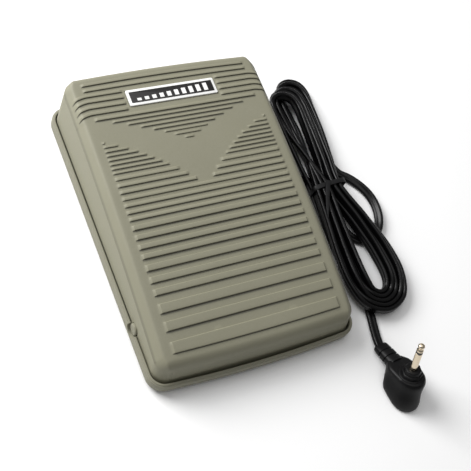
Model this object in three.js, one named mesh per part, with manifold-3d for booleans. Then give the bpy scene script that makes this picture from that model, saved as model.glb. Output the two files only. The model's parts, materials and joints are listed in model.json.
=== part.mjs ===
// Sewing machine foot pedal: a ribbed treadle hinged at the heel end of a shallow tray,
// with its return springs, rack and pinion, rotary control, circuit board, and a flat
// twin lead that is folded into a hank and ends in a right-angle jack plug.
// Millimetres, +Z up, +Y towards the toe end. The origin is on the floor under the centre.
import * as THREE from 'three';
import { mergeVertices } from 'three/addons/utils/BufferGeometryUtils.js';
import Module from 'manifold-3d';

const wasm = await Module();
wasm.setup();

// ---- driving dimensions ----
const GAP = 0.3;                                  // clearance between touching pieces
const TRAY = { halfWidth: 56, halfLength: 81, bow: 1.7, corner: 8.4, wall: 1.8 };
const TRAY_Z = { underside: 1.8, floor: 3.2, rim: 8 };
const COVER = { halfWidth: 53.4, near: -76.1, far: 77.8, bow: 1.7, corner: 7.6, wall: 2 };
const TOP = { mid: 30.2, rise: 9.1, sag: 4, span: 85 };        // height of the treading face
const SHOULDER = { width: 3.2, drop: 4.2 };       // bevel along both long edges
const NEAR_ROLL = 4.6;
const FAR_ROLL = 3;
const SKIRT_Z = 7.7;                              // lower edge of the cover, toe part
const HEEL_SKIRT_Z = 4.2;                         // lower edge of the cover, heel part
const HINGE = { y: -48, z: 7.9, hole: 3.3, lug: 4.4 };
const PIN = { journal: 3, shank: 2, head: 54.8, step: 51, end: 44 };
const EAR = { inner: 47.6, outer: 50.7, halfLength: 6, top: 13.5 };
const RIB = { height: 0.8, share: 0.55, halfLength: 44.8 };
const CHEVRON_LOW = { start: 5.5, slope: 1.13, curve: 0.0089 };   // lower edge of the plain V
const CHEVRON_HIGH = { start: 32.3, slope: 0.57, curve: 0.0034 }; // upper edge of the plain V
const BADGE = { width: 48.4, length: 9.2, y: 60.4, thickness: 0.8 };
const SPRING = { x: 28, y: 45, radius: 5, wire: 0.55, turns: 8, bottom: 4, top: 30.4 };
const RACK = { radius: 84, inner: 76.5, x0: 15.3, x1: 19.7, toothPitch: Math.PI };
const PINION = { radius: 4, teeth: 8, y: 39.8, z: 14, x0: 14.5, x1: 20.5 };
const BOARD = { x0: -20, x1: 21, y0: 20, y1: 64, z0: 5, thickness: 1.6 };
const RACK_SLOT = { y0: 27.5, y1: 38 };            // opening in the board that the rack dips into
const EXIT = { y: 12, z: 4.6 };                   // where the lead leaves the tray
const LEAD = { width: 5, height: 2.6 };
const RELIEF = { flange: 3.2, neck: 2.3, droop: THREE.MathUtils.degToRad(14) };

// ---- materials ----
const finish = (color, roughness, metalness = 0) =>
  new THREE.MeshStandardMaterial({ color, roughness, metalness });
const OLIVE = finish('#8a8672', 0.6);
const OLIVE_DARK = finish('#7e7a66', 0.6);
const RUBBER = finish('#1c1c1c', 0.9);
const BLACK_PVC = finish('#121212', 0.45);
const STEEL = finish('#b5b5b2', 0.3, 1);
const NICKEL = finish('#cfc6ad', 0.2, 1);
const NYLON = finish('#e6e1d2', 0.5);
const BOARD_GREEN = finish('#2d6a3f', 0.45);
const COMPONENT = finish('#24303a', 0.4);
const BADGE_WHITE = finish('#f2f2ee', 0.35);

// ---- solids ----
const toSolid = (geometry) => {
  const bare = geometry.clone();
  bare.deleteAttribute('normal');
  bare.deleteAttribute('uv');
  const welded = mergeVertices(bare, 1e-4);
  return new wasm.Manifold(new wasm.Mesh({
    numProp: 3,
    vertProperties: new Float32Array(welded.attributes.position.array),
    triVerts: new Uint32Array(welded.index.array),
  }));
};

const toGeometry = (solid) => {
  const mesh = solid.getMesh();
  const geometry = new THREE.BufferGeometry();
  const corners = new Float32Array(mesh.triVerts.length * 3);
  for (let i = 0; i < mesh.triVerts.length; i += 1) {
    const from = mesh.triVerts[i] * mesh.numProp;
    corners[3 * i] = mesh.vertProperties[from];
    corners[3 * i + 1] = mesh.vertProperties[from + 1];
    corners[3 * i + 2] = mesh.vertProperties[from + 2];
  }
  geometry.setAttribute('position', new THREE.BufferAttribute(corners, 3));
  geometry.computeVertexNormals();
  return geometry;
};

const sum = (...solids) => solids.reduce((all, next) => all.add(next));
const common = (...solids) => solids.reduce((all, next) => all.intersect(next));
const less = (body, ...cuts) => cuts.reduce((all, next) => all.subtract(next), body);

const AXIS_X = new THREE.Matrix4().makeBasis(
  new THREE.Vector3(0, 1, 0), new THREE.Vector3(0, 0, 1), new THREE.Vector3(1, 0, 0));
const AXIS_Y = new THREE.Matrix4().makeBasis(
  new THREE.Vector3(0, 0, 1), new THREE.Vector3(1, 0, 0), new THREE.Vector3(0, 1, 0));

const prism = (shape, depth, curveSegments = 6, steps = 1) =>
  new THREE.ExtrudeGeometry(shape, { depth, steps, bevelEnabled: false, curveSegments });
// An outline in plan, raised from z0 to z1.
const alongZ = (shape, z0, z1, segments) => toSolid(prism(shape, z1 - z0, segments).translate(0, 0, z0));
// An outline in (y, z), swept from x0 to x1.
const alongX = (shape, x0, x1, segments) =>
  toSolid(prism(shape, x1 - x0, segments).applyMatrix4(AXIS_X).translate(x0, 0, 0));

const box = (x0, x1, y0, y1, z0, z1) => toSolid(new THREE.BoxGeometry(x1 - x0, y1 - y0, z1 - z0)
  .translate((x0 + x1) / 2, (y0 + y1) / 2, (z0 + z1) / 2));

// A turned piece from [distance along the axis, radius] stations, on the X, Y or Z axis.
const turned = (stations, axis = 'z', sides = 20) => {
  const profile = [[stations[0][0], 0], ...stations, [stations.at(-1)[0], 0]];
  const lathe = new THREE.LatheGeometry(profile.map(([at, radius]) => new THREE.Vector2(radius, at)), sides);
  lathe.rotateX(Math.PI / 2);
  if (axis === 'x') lathe.applyMatrix4(AXIS_X);
  if (axis === 'y') lathe.applyMatrix4(AXIS_Y);
  return lathe;
};
const rod = (axis, from, to, radius, sides) => turned([[from, radius], [to, radius]], axis, sides);
const rodX = (x0, x1, y, z, radius, sides) => toSolid(rod('x', x0, x1, radius, sides).translate(0, y, z));
const rodZ = (x, y, z0, z1, radius, sides) => toSolid(rod('z', z0, z1, radius, sides).translate(x, y, 0));

// ---- assembly ----
const pedal = new THREE.Group();
const place = (name, solid, material, parent = pedal) => {
  const mesh = new THREE.Mesh(solid.getMesh ? toGeometry(solid) : solid, material);
  mesh.name = name;
  parent.add(mesh);
  return mesh;
};

const SIDES = [['left', -1], ['right', 1]];
const ENDS = [['heel', -1], ['toe', 1]];
const topHeight = (y) => TOP.mid + TOP.rise * (y / TOP.span) - TOP.sag * (y / TOP.span) ** 2;

// Rounded rectangle whose two short ends bow outwards.
const planShape = (halfWidth, near, far, bow, corner) => {
  const shape = new THREE.Shape();
  const x = halfWidth - corner;
  shape.moveTo(-x, near + bow);
  shape.quadraticCurveTo(0, near - bow, x, near + bow);
  shape.absarc(x, near + bow + corner, corner, -Math.PI / 2, 0, false);
  shape.absarc(x, far - bow - corner, corner, 0, Math.PI / 2, false);
  shape.quadraticCurveTo(0, far + bow, -x, far - bow);
  shape.absarc(-x, far - bow - corner, corner, Math.PI / 2, Math.PI, false);
  shape.absarc(-x, near + bow + corner, corner, Math.PI, 1.5 * Math.PI, false);
  return shape;
};

// ---- treadle cover ----
// Side view of the treadle, with its rounded heel and toe edges, lowered by an inset.
const sideShape = (inset) => {
  const shape = new THREE.Shape();
  const near = COVER.near + inset;
  const far = COVER.far - inset;
  const roll = NEAR_ROLL - inset;
  const farRoll = Math.max(FAR_ROLL - inset, 0.6);
  const height = (y) => topHeight(y) - inset;
  shape.moveTo(near, -10);
  shape.lineTo(near, 0);
  shape.absarc(near + roll, height(near + roll) - roll, roll, Math.PI, Math.PI / 2 + 0.1, true);
  const steps = 14;
  for (let i = 1; i < steps; i += 1) {
    const y = near + roll + ((far - farRoll - near - roll) * i) / steps;
    shape.lineTo(y, height(y));
  }
  shape.absarc(far - farRoll, height(far - farRoll) - farRoll, farRoll, Math.PI / 2, 0, true);
  shape.lineTo(far, -10);
  return shape;
};

// Bar with bevelled long edges that follows the height of the treading face.
const bevelledBar = (inset) => {
  const wide = COVER.halfWidth - inset;
  const narrow = wide - SHOULDER.width;
  const above = 1;
  const lean = SHOULDER.width / SHOULDER.drop;
  const shape = new THREE.Shape([
    [-50, -wide], [-50, wide], [-SHOULDER.drop - inset, wide], [above - inset, narrow - above * lean],
    [above - inset, above * lean - narrow], [-SHOULDER.drop - inset, -wide],
  ].map(([z, x]) => new THREE.Vector2(z, x)));
  const bar = prism(shape, 200, 1, 24).applyMatrix4(AXIS_Y).translate(0, -100, 0);
  const points = bar.attributes.position;
  for (let i = 0; i < points.count; i += 1) {
    const y = Math.min(Math.max(points.getY(i), COVER.near), COVER.far);
    points.setZ(i, points.getZ(i) + topHeight(y));
  }
  return toSolid(bar);
};

const coverShell = (inset) => common(
  alongZ(planShape(COVER.halfWidth - inset, COVER.near + inset, COVER.far - inset, COVER.bow,
    COVER.corner - inset), -5, 60, 5),
  bevelledBar(inset),
  alongX(sideShape(inset), -60, 60, 4),
);

// A rib: highest at its step, which faces the heel, and running out towards the toe.
const ribShape = (y, length) => {
  const z = topHeight(y);
  const low = 0.6;
  const end = y + length;
  return new THREE.Shape([
    [y, z - low], [end, topHeight(end) - low], [end, topHeight(end) + 0.06],
    [y + 0.35, z + RIB.height], [y, z + RIB.height - 0.3],
  ].map(([a, b]) => new THREE.Vector2(a, b)));
};
const rib = (y, pitch, x0, x1) => alongX(ribShape(y, pitch * RIB.share), x0, x1);

// Distance from the centre line to a chevron edge at y: start + slope * x - curve * x^2 = y.
const chevronX = ({ start, slope, curve }, y) =>
  (slope - Math.sqrt(Math.max(slope * slope - 4 * curve * (y - start), 0))) / (2 * curve);

// Rib lines from the plain V to the heel: the pitch widens in groups.
const LOWER_GROUPS = [[8, 2.4], [7, 3.55], [4, 4.85], [3, 6], [2, 8.55], [1, 10.9]];
const UPPER_GROUPS = [[7, 3.5], [7, 2.46]];
const FIRST_LOWER = 37.9;
const FIRST_UPPER = 71.8;

const ribs = [];
let ribY = FIRST_LOWER;
LOWER_GROUPS.forEach(([count, pitch], group) => {
  for (let i = 0; i < count; i += 1) {
    if (group + i > 0) ribY -= pitch;
    const inner = ribY > CHEVRON_LOW.start ? Math.max(chevronX(CHEVRON_LOW, ribY), 0) : 0;
    const spans = inner > 3 ? [[-RIB.halfLength, -inner], [inner, RIB.halfLength]]
      : [[-RIB.halfLength, RIB.halfLength]];
    spans.forEach(([x0, x1]) => ribs.push(rib(ribY, pitch, x0, x1)));
  }
});
const BADGE_Y = [BADGE.y - BADGE.length / 2 - 1.2, BADGE.y + BADGE.length / 2 + 1.2];
ribY = FIRST_UPPER;
UPPER_GROUPS.forEach(([count, pitch], group) => {
  for (let i = 0; i < count; i += 1) {
    if (group + i > 0) ribY -= pitch;
    const length = pitch * RIB.share;
    const narrow = ribY < CHEVRON_HIGH.start + 18.6;
    const reach = narrow ? chevronX(CHEVRON_HIGH, ribY) : RIB.halfLength;
    const badgeEdge = BADGE.width / 2 + 1.5;
    const meetsBadge = ribY + length > BADGE_Y[0] && ribY < BADGE_Y[1];
    const spans = meetsBadge ? [[-reach, -badgeEdge], [badgeEdge, reach]] : [[-reach, reach]];
    spans.filter(([x0, x1]) => x1 - x0 > 3).forEach(([x0, x1]) => ribs.push(rib(ribY, pitch, x0, x1)));
  }
});

const treadle = new THREE.Group();
pedal.add(treadle);

const skirtCut = alongX(new THREE.Shape([
  [-90, -20], [-90, HEEL_SKIRT_Z], [HINGE.y + 4.4, HEEL_SKIRT_Z], [HINGE.y + 4.4, SKIRT_Z],
  [90, SKIRT_Z], [90, -20],
].map(([y, z]) => new THREE.Vector2(y, z))), -60, 60);
const lug = (side) => {
  const span = [COVER.halfWidth - COVER.wall, COVER.halfWidth].map((x) => x * side).sort((a, b) => a - b);
  return rodX(span[0], span[1], HINGE.y, HINGE.z, HINGE.lug, 28);
};
const springSocket = (side) => {
  const x = side * SPRING.x;
  const ceiling = topHeight(SPRING.y) - COVER.wall + 0.3;
  return less(rodZ(x, SPRING.y, ceiling - 8.5, ceiling, 8.4, 24),
    rodZ(x, SPRING.y, ceiling - 10, ceiling - 0.9, 7, 24));
};
const RACK_PAD = { x0: 9, x1: 26, y0: 20, y1: 35.5, z0: 27.6 };
const RACK_SCREWS = [[11.8, 27.5], [23.2, 27.5]];
const rackPad = less(box(RACK_PAD.x0, RACK_PAD.x1, RACK_PAD.y0, RACK_PAD.y1, RACK_PAD.z0, 30.5),
  ...RACK_SCREWS.map(([x, y]) => rodZ(x, y, RACK_PAD.z0 - 1, 30, 1.5, 12)));
const LEAD_NOTCH = { halfLength: 5.5, top: 10.5 };
const badgeSeat = box(-BADGE.width / 2 - GAP, BADGE.width / 2 + GAP, BADGE_Y[0] + 1.2 - GAP,
  BADGE_Y[1] - 1.2 + GAP, topHeight(BADGE.y) - 0.5, 60);

const coverSolid = less(
  sum(
    less(sum(less(coverShell(0), skirtCut), lug(-1), lug(1)), coverShell(COVER.wall)),
    ...SIDES.map(([, side]) => springSocket(side)),
    rackPad,
    ...ribs,
  ),
  ...SIDES.map(([, side]) => rodX(side * 52.4 - 2, side * 52.4 + 2, HINGE.y, HINGE.z, HINGE.hole, 24)),
  box(50, 60, EXIT.y - LEAD_NOTCH.halfLength, EXIT.y + LEAD_NOTCH.halfLength, 0, LEAD_NOTCH.top),
  badgeSeat,
);
place('treadle_cover', coverSolid, OLIVE, treadle);

const badge = new THREE.BoxGeometry(BADGE.width, BADGE.length, BADGE.thickness);
const badgeMesh = place('badge_plate', badge, BADGE_WHITE, treadle);
badgeMesh.position.set(0, BADGE.y, topHeight(BADGE.y) - 0.5 + GAP + BADGE.thickness / 2);

// ---- rack on the treadle, pinion and rotary control in the tray ----
const polar = (radius, angle) =>
  new THREE.Vector2(HINGE.y + radius * Math.cos(angle), HINGE.z + radius * Math.sin(angle));
const meshAngle = Math.asin((PINION.z - HINGE.z) / (RACK.radius + PINION.radius));
const TOOTH = { addendum: 0.75, dedendum: 1.15, baseShare: 0.27, tipShare: 0.1 };
const rackShape = () => {
  const points = [];
  const pitch = RACK.toothPitch / RACK.radius;
  const root = RACK.radius - TOOTH.dedendum;
  const tip = RACK.radius + TOOTH.addendum;
  points.push(polar(root, meshAngle - 1.5 * pitch));
  for (let i = -1; i <= 3; i += 1) {
    const angle = meshAngle + i * pitch;
    points.push(polar(root, angle - TOOTH.baseShare * pitch), polar(tip, angle - TOOTH.tipShare * pitch));
    points.push(polar(tip, angle + TOOTH.tipShare * pitch), polar(root, angle + TOOTH.baseShare * pitch));
  }
  const topAngle = Math.asin((RACK_PAD.z0 - GAP - 2 - HINGE.z) / root);
  points.push(polar(root, topAngle), polar(RACK.inner, topAngle * 1.1));
  points.push(polar(RACK.inner, meshAngle - 1.5 * pitch));
  return new THREE.Shape(points);
};
const rackFlange = less(
  box(RACK_PAD.x0 + 0.6, RACK_PAD.x1 - 0.6, RACK_PAD.y0 + 0.6, RACK_PAD.y1 - 0.8,
    RACK_PAD.z0 - GAP - 2.2, RACK_PAD.z0 - GAP),
  ...RACK_SCREWS.map(([x, y]) => rodZ(x, y, 20, 30, 1.5, 12)));
place('rack_sector', sum(alongX(rackShape(), RACK.x0, RACK.x1), rackFlange), NYLON, treadle);
RACK_SCREWS.forEach(([x, y], i) => {
  const z = RACK_PAD.z0 - 2.5 - GAP;
  const screw = turned([[z - 1.4, 2.3], [z - GAP, 2.3], [z - GAP, 1.2], [z + 4.4, 1.2]], 'z', 12);
  place(`rack_screw_${i + 1}`, screw.translate(x, y, 0), STEEL, treadle);
});

const pinionShape = () => {
  const points = [];
  const pitch = (2 * Math.PI) / PINION.teeth;
  const root = PINION.radius - TOOTH.dedendum;
  const tip = PINION.radius + TOOTH.addendum;
  const at = (radius, angle) => new THREE.Vector2(radius * Math.cos(angle), radius * Math.sin(angle));
  for (let i = 0; i < PINION.teeth; i += 1) {
    // half a pitch on, so that a gap faces the rack tooth at the mesh point
    const angle = Math.PI + meshAngle + (i + 0.5) * pitch;
    points.push(at(root, angle - TOOTH.baseShare * pitch), at(tip, angle - TOOTH.tipShare * pitch));
    points.push(at(tip, angle + TOOTH.tipShare * pitch), at(root, angle + TOOTH.baseShare * pitch));
  }
  return new THREE.Shape(points);
};
const shaftAxis = new THREE.Group();
shaftAxis.position.set(0, PINION.y, PINION.z);
pedal.add(shaftAxis);
const SHAFT = { x0: 5.5, x1: 22, radius: 1.5 };
const pinionSolid = less(
  alongX(pinionShape(), PINION.x0, PINION.x1),
  rodX(0, 30, 0, 0, SHAFT.radius + GAP, 16));
place('pinion_gear', pinionSolid, NYLON, shaftAxis);
place('pinion_shaft', rod('x', SHAFT.x0, SHAFT.x1, SHAFT.radius, 16), STEEL, shaftAxis);

const boardTop = BOARD.z0 + BOARD.thickness;
const controlCase = less(
  sum(rodX(4.5, 12, PINION.y, PINION.z, 7, 24),
    box(4.5, 12, PINION.y - 6, PINION.y + 6, boardTop + GAP, PINION.z),
    rodX(11.5, 13.6, PINION.y, PINION.z, 3.4, 20)),
  rodX(SHAFT.x0 - GAP, 20, PINION.y, PINION.z, SHAFT.radius + GAP, 16));
place('rotary_control', controlCase, COMPONENT);

// ---- tray ----
const trayPlan = (inset) => planShape(TRAY.halfWidth - inset, -TRAY.halfLength + inset,
  TRAY.halfLength - inset, TRAY.bow, TRAY.corner - inset);
const ear = (side) => {
  const [x0, x1] = [EAR.inner * side, EAR.outer * side].sort((a, b) => a - b);
  return less(box(x0, x1, HINGE.y - EAR.halfLength, HINGE.y + EAR.halfLength, TRAY_Z.floor - 0.5, EAR.top),
    rodX(x0 - 1, x1 + 1, HINGE.y, HINGE.z, PIN.shank + GAP, 20));
};
const BOARD_POSTS = [[BOARD.x0 + 4, BOARD.y0 + 4], [BOARD.x1 - 4, BOARD.y1 - 4],
  [BOARD.x0 + 4, BOARD.y1 - 4], [BOARD.x1 - 4, BOARD.y0 + 4]];
const SCREWED_POSTS = BOARD_POSTS.slice(0, 2);
const CLAMP = { x: 44, reach: 8 };
const FOOT = { x: 44, y: 68, radius: 7, recess: 0.8 };
const BUMPER = { x: 40, y: 66, radius: 4.2, height: 9 };
const traySolid = less(
  sum(
    less(alongZ(trayPlan(0), TRAY_Z.underside, TRAY_Z.rim, 6),
      alongZ(trayPlan(TRAY.wall), TRAY_Z.floor, 20, 6)),
    ...SIDES.map(([, side]) => ear(side)),
    ...SIDES.map(([, side]) => rodZ(side * SPRING.x, SPRING.y, TRAY_Z.floor - 0.5, 9, 3.8, 20)),
    ...BOARD_POSTS.map(([x, y]) => rodZ(x, y, TRAY_Z.floor - 0.5, BOARD.z0 - GAP, 3, 14)),
    ...[-1, 1].map((s) => rodZ(CLAMP.x, EXIT.y + s * CLAMP.reach, TRAY_Z.floor - 0.5, 6, 3, 14)),
  ),
  ...SIDES.map(([, side]) => rodX(side * 55 - 2.2, side * 55 + 2.2, HINGE.y, HINGE.z, 3.7, 24)),
  ...SCREWED_POSTS.map(([x, y]) => rodZ(x, y, TRAY_Z.floor - 0.4, 8, 1.6, 12)),
  ...[-1, 1].map((s) => rodZ(CLAMP.x, EXIT.y + s * CLAMP.reach, TRAY_Z.floor - 0.4, 8, 1.6, 12)),
  ...SIDES.flatMap(([, sx]) => ENDS.map(([, sy]) =>
    rodZ(sx * FOOT.x, sy * FOOT.y, 0, TRAY_Z.underside + FOOT.recess, FOOT.radius + GAP, 24))),
  box(54, 58, EXIT.y - RELIEF.neck - GAP, EXIT.y + RELIEF.neck + GAP, EXIT.z, 12),
  rodX(54, 58, EXIT.y, EXIT.z, RELIEF.neck + GAP, 16),
  rodX(50.8, 54.3, EXIT.y, EXIT.z, RELIEF.flange + GAP, 20),
);
place('base_tray', traySolid, OLIVE_DARK);

SIDES.forEach(([sideName, side]) => {
  ENDS.forEach(([endName, end]) => {
    const foot = turned([[0, FOOT.radius - 0.8], [0.8, FOOT.radius],
      [TRAY_Z.underside + FOOT.recess - GAP, FOOT.radius]], 'z', 24);
    place(`rubber_foot_${endName}_${sideName}`, foot.translate(side * FOOT.x, end * FOOT.y, 0), RUBBER);
  });
  const pin = turned([
    [-PIN.head, PIN.journal - 0.4], [-PIN.head + 0.4, PIN.journal], [-PIN.step, PIN.journal],
    [-PIN.step, PIN.shank], [-PIN.end, PIN.shank]], 'x', 20);
  if (side > 0) pin.rotateZ(Math.PI);
  place(`pivot_pin_${sideName}`, pin.translate(0, HINGE.y, HINGE.z), OLIVE_DARK);
  const clipSpan = [PIN.end + 0.6, PIN.end + 1.8].map((x) => x * side).sort((a, b) => a - b);
  const clip = less(rodX(clipSpan[0], clipSpan[1], HINGE.y, HINGE.z, 4, 20),
    rodX(clipSpan[0] - 1, clipSpan[1] + 1, HINGE.y, HINGE.z, PIN.shank + GAP, 20));
  place(`pin_clip_${sideName}`, clip, STEEL);
  const bumper = turned(
    [[TRAY_Z.floor + GAP, BUMPER.radius], [TRAY_Z.floor + BUMPER.height, BUMPER.radius - 1]],
    'z', 18);
  place(`stop_bumper_${sideName}`, bumper.translate(side * BUMPER.x, BUMPER.y, 0), RUBBER);
});

// ---- return springs ----
const springPath = () => {
  const points = [];
  const perTurn = 10;
  for (let i = 0; i <= SPRING.turns * perTurn; i += 1) {
    const angle = (2 * Math.PI * i) / perTurn;
    const z = SPRING.bottom + ((SPRING.top - SPRING.bottom) * i) / (SPRING.turns * perTurn);
    points.push(new THREE.Vector3(SPRING.radius * Math.cos(angle), SPRING.radius * Math.sin(angle), z));
  }
  return new THREE.CatmullRomCurve3(points);
};
const circleShape = (radius) => new THREE.Shape().absarc(0, 0, radius, 0, 2 * Math.PI, false);
SIDES.forEach(([sideName, side]) => {
  const spring = new THREE.ExtrudeGeometry(circleShape(SPRING.wire), {
    steps: SPRING.turns * 12, curveSegments: 3, bevelEnabled: false, extrudePath: springPath(),
  });
  const mesh = place(`return_spring_${sideName}`, spring, STEEL);
  mesh.position.set(side * SPRING.x, SPRING.y, 0);
});

// ---- circuit board and what is on it ----
const boardSolid = less(box(BOARD.x0, BOARD.x1, BOARD.y0, BOARD.y1, BOARD.z0, boardTop),
  box(RACK.x0 - 0.8, BOARD.x1 + 1, RACK_SLOT.y0, RACK_SLOT.y1, 0, 10),
  ...SCREWED_POSTS.map(([x, y]) => rodZ(x, y, 0, 10, 1.6, 12)));
place('circuit_board', boardSolid, BOARD_GREEN);
const screwStations = (head, tip, radius = 1.2, headRadius = 2.4) =>
  [[tip, radius], [head, radius], [head, headRadius], [head + 1.5, headRadius - 0.3]];
SCREWED_POSTS.forEach(([x, y], i) => {
  const screw = turned(screwStations(boardTop + GAP, TRAY_Z.floor + 0.2), 'z', 12);
  place(`board_screw_${i + 1}`, screw.translate(x, y, 0), STEEL);
});
const capacitor = turned([[boardTop + GAP, 3.5], [boardTop + 8.5, 3.5], [boardTop + 9, 3.1]], 'z', 18);
place('capacitor', capacitor.translate(-11, 32, 0), COMPONENT);
const resistor = turned([[-14, 1.4], [-13, 1.8], [-7, 1.8], [-6, 1.4]], 'x', 14);
place('resistor', resistor.translate(0, 52, boardTop + GAP + 1.8), NYLON);

// ---- lead: strain relief, clamp and the stretch inside the tray ----
const flatSection = () => new THREE.Shape()
  .absellipse(0, 0, LEAD.height / 2, LEAD.width / 2, 0, 2 * Math.PI, false);
const leadTube = (points, steps) => new THREE.ExtrudeGeometry(flatSection(), {
  steps, curveSegments: 4, bevelEnabled: false,
  extrudePath: new THREE.CatmullRomCurve3(points.map((p) => new THREE.Vector3(...p))),
});
const reliefBush = turned([[51.4, RELIEF.flange], [53.7, RELIEF.flange], [53.7, RELIEF.neck],
  [56.3, RELIEF.neck], [56.3, RELIEF.flange], [57.5, RELIEF.flange]], 'x', 18);
const reliefTaper = turned([[-0.6, 2.6], [0.3, 2.9], [4.5, 2.5], [8.3, 1.9]], 'x', 18);
reliefTaper.rotateY(RELIEF.droop).translate(57.5, 0, 0);
place('strain_relief', toSolid(reliefBush).add(toSolid(reliefTaper)).translate([0, EXIT.y, EXIT.z]), RUBBER);
place('inner_lead', leadTube([[51, EXIT.y, EXIT.z], [46, EXIT.y, EXIT.z], [38, EXIT.y, EXIT.z],
  [30, EXIT.y + 2, EXIT.z + 0.8], [26, EXIT.y + 7, EXIT.z + 1.6],
  [24.5, EXIT.y + 14, EXIT.z + 2]], 12), BLACK_PVC);
const clampSolid = less(
  box(CLAMP.x - 3, CLAMP.x + 3, EXIT.y - 11, EXIT.y + 11, 6.3, 8.3),
  ...[-1, 1].map((s) => rodZ(CLAMP.x, EXIT.y + s * CLAMP.reach, 0, 12, 1.6, 12)));
place('cord_clamp', clampSolid, NYLON);
[-1, 1].forEach((s, i) => {
  const screw = turned(screwStations(8.3 + GAP, TRAY_Z.floor + 0.2), 'z', 12);
  place(`clamp_screw_${i + 1}`, screw.translate(CLAMP.x, EXIT.y + s * CLAMP.reach, 0), STEEL);
});

// ---- lead outside the tray: the free stretch, the hank, its tie and the tail ----
const LEAD_ROUTE = [
  [66.6, 12, 2.1], [69.2, 10.9, 1.7], [72.2, 8.8, 1.45], [74.8, 5, 1.4], [76.4, 0, 1.4], [77, -10, 1.4],
  [78, -19, 1.4], [80.8, -26.5, 1.4], [86.5, -30.6, 1.4], [93, -30, 1.4], [98.6, -26, 1.4],
  [102.2, -19.5, 1.4], [103.6, -12, 1.4], [102.8, -4.5, 1.4], [99.8, 2.4, 1.4], [95.8, 7.8, 1.6],
  [91.4, 12, 1.9],
];
const TAIL_ROUTE = [
  [71.6, -64, 1.4], [70.9, -70, 1.4], [69.4, -77, 1.4], [68, -83.5, 1.6], [67.3, -87.4, 2],
];
place('cord_lead', leadTube(LEAD_ROUTE, 40), BLACK_PVC);
place('cord_tail', leadTube(TAIL_ROUTE, 10), BLACK_PVC);

const HANK = { near: [80, -57, 16], far: [81, 71, 10.5], z0: 4.2, z1: 12.6 };
const hankShape = () => {
  const [nearX, nearY, nearR] = HANK.near;
  const [farX, farY, farR] = HANK.far;
  const through = (points) => points.map(([x, y]) => new THREE.Vector2(x, y));
  const shape = new THREE.Shape();
  shape.absarc(nearX, nearY, nearR, Math.PI, 2 * Math.PI, false);
  shape.splineThru(through([[94.6, -42], [90.5, -22], [88, 2], [89, 28], [91, 52], [farX + farR, farY]]));
  shape.absarc(farX, farY, farR, 0, Math.PI, false);
  shape.splineThru(through(
    [[69.4, 50], [67.6, 24], [67, 2], [66, -20], [64.6, -40], [nearX - nearR, nearY]]));
  return shape;
};
const hank = alongZ(hankShape(), HANK.z0, HANK.z1, 8);
place('cord_hank', hank, BLACK_PVC);
const TIE = { x0: 66.2, x1: 88.9, y: 2, width: 3, thickness: 0.5 };
const tieSolid = sum(
  less(
    box(TIE.x0, TIE.x1, TIE.y - TIE.width / 2, TIE.y + TIE.width / 2,
      HANK.z0 - GAP - TIE.thickness, HANK.z1 + GAP + TIE.thickness),
    box(TIE.x0 + TIE.thickness, TIE.x1 - TIE.thickness, -20, 20, HANK.z0 - GAP, HANK.z1 + GAP)),
  box(76.5, 79, -15, TIE.y, HANK.z1 + GAP, HANK.z1 + GAP + TIE.thickness));
place('cord_tie', tieSolid, RUBBER);

// ---- right-angle jack plug, in its own frame: +Y to the lead, +Z along the pin ----
const PLUG = { at: [69.6, -110.9, 10.3], lean: 20, yaw: 6 };
const PLUG_BODY = { halfWidth: 6.8, end: 12, back: -5, front: 3.6 };
const PLUG_FOOT = { end: 8.5, back: -14, clearance: 0.1 };    // the block the leaning plug stands on
const plug = new THREE.Group();
plug.position.set(...PLUG.at);
plug.rotation.set(THREE.MathUtils.degToRad(-PLUG.lean), 0, THREE.MathUtils.degToRad(PLUG.yaw), 'ZYX');
pedal.add(plug);
const plugShape = (end) => {
  const { halfWidth } = PLUG_BODY;
  const shape = new THREE.Shape();
  shape.absarc(0, 0, halfWidth, Math.PI, 2 * Math.PI, false);
  shape.lineTo(halfWidth, end - 3);
  shape.quadraticCurveTo(halfWidth, end, halfWidth - 2.6, end);
  shape.lineTo(2.6 - halfWidth, end);
  shape.quadraticCurveTo(-halfWidth, end, -halfWidth, end - 3);
  return shape;
};
const jackHole = toSolid(rod('z', PLUG_BODY.front - 0.2, 12, 2.05, 20));
const belowFloor = box(-20, 20, -30, 30, -40, PLUG_FOOT.clearance - PLUG.at[2])
  .rotate([PLUG.lean, 0, 0]);
const plugBody = sum(
  alongZ(plugShape(PLUG_BODY.end), PLUG_BODY.back, PLUG_BODY.front, 10),
  alongZ(plugShape(PLUG_FOOT.end), PLUG_FOOT.back, PLUG_BODY.back + 1, 10));
place('plug_body', less(plugBody, belowFloor, jackHole), BLACK_PVC, plug);
const collarStations = [[PLUG_BODY.front + GAP, 5.2], [6.1, 5.2], [6.2, 4], [8.2, 3.8]];
place('plug_collar', less(toSolid(turned(collarStations, 'z', 20)), jackHole), BLACK_PVC, plug);
const plugRelief = turned([[12.3, 4.4], [15.5, 4.2], [15.6, 3.4], [16.4, 3.4], [16.5, 4], [19.5, 3.8],
  [19.6, 3.1], [20.4, 3.1], [20.5, 3.7], [24, 3.4]], 'y', 16);
plugRelief.scale(1, 1, 0.62);
place('plug_strain_relief', plugRelief, BLACK_PVC, plug);
const jack = (name, stations, material) => place(name, turned(stations, 'z', 16), material, plug);
jack('plug_sleeve', [[4.2, 1.75], [20, 1.75]], NICKEL);
jack('plug_insulator', [[20.3, 1.7], [21.1, 1.7]], RUBBER);
jack('plug_tip', [[21.4, 1.75], [22, 1.75], [22.9, 1.15], [23.7, 1.15], [24.6, 1.7], [25.3, 1.4],
  [25.8, 0.7]], NICKEL);

export default pedal;
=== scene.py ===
import json
import math

import bmesh
import bpy
from mathutils import Matrix, Vector

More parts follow.
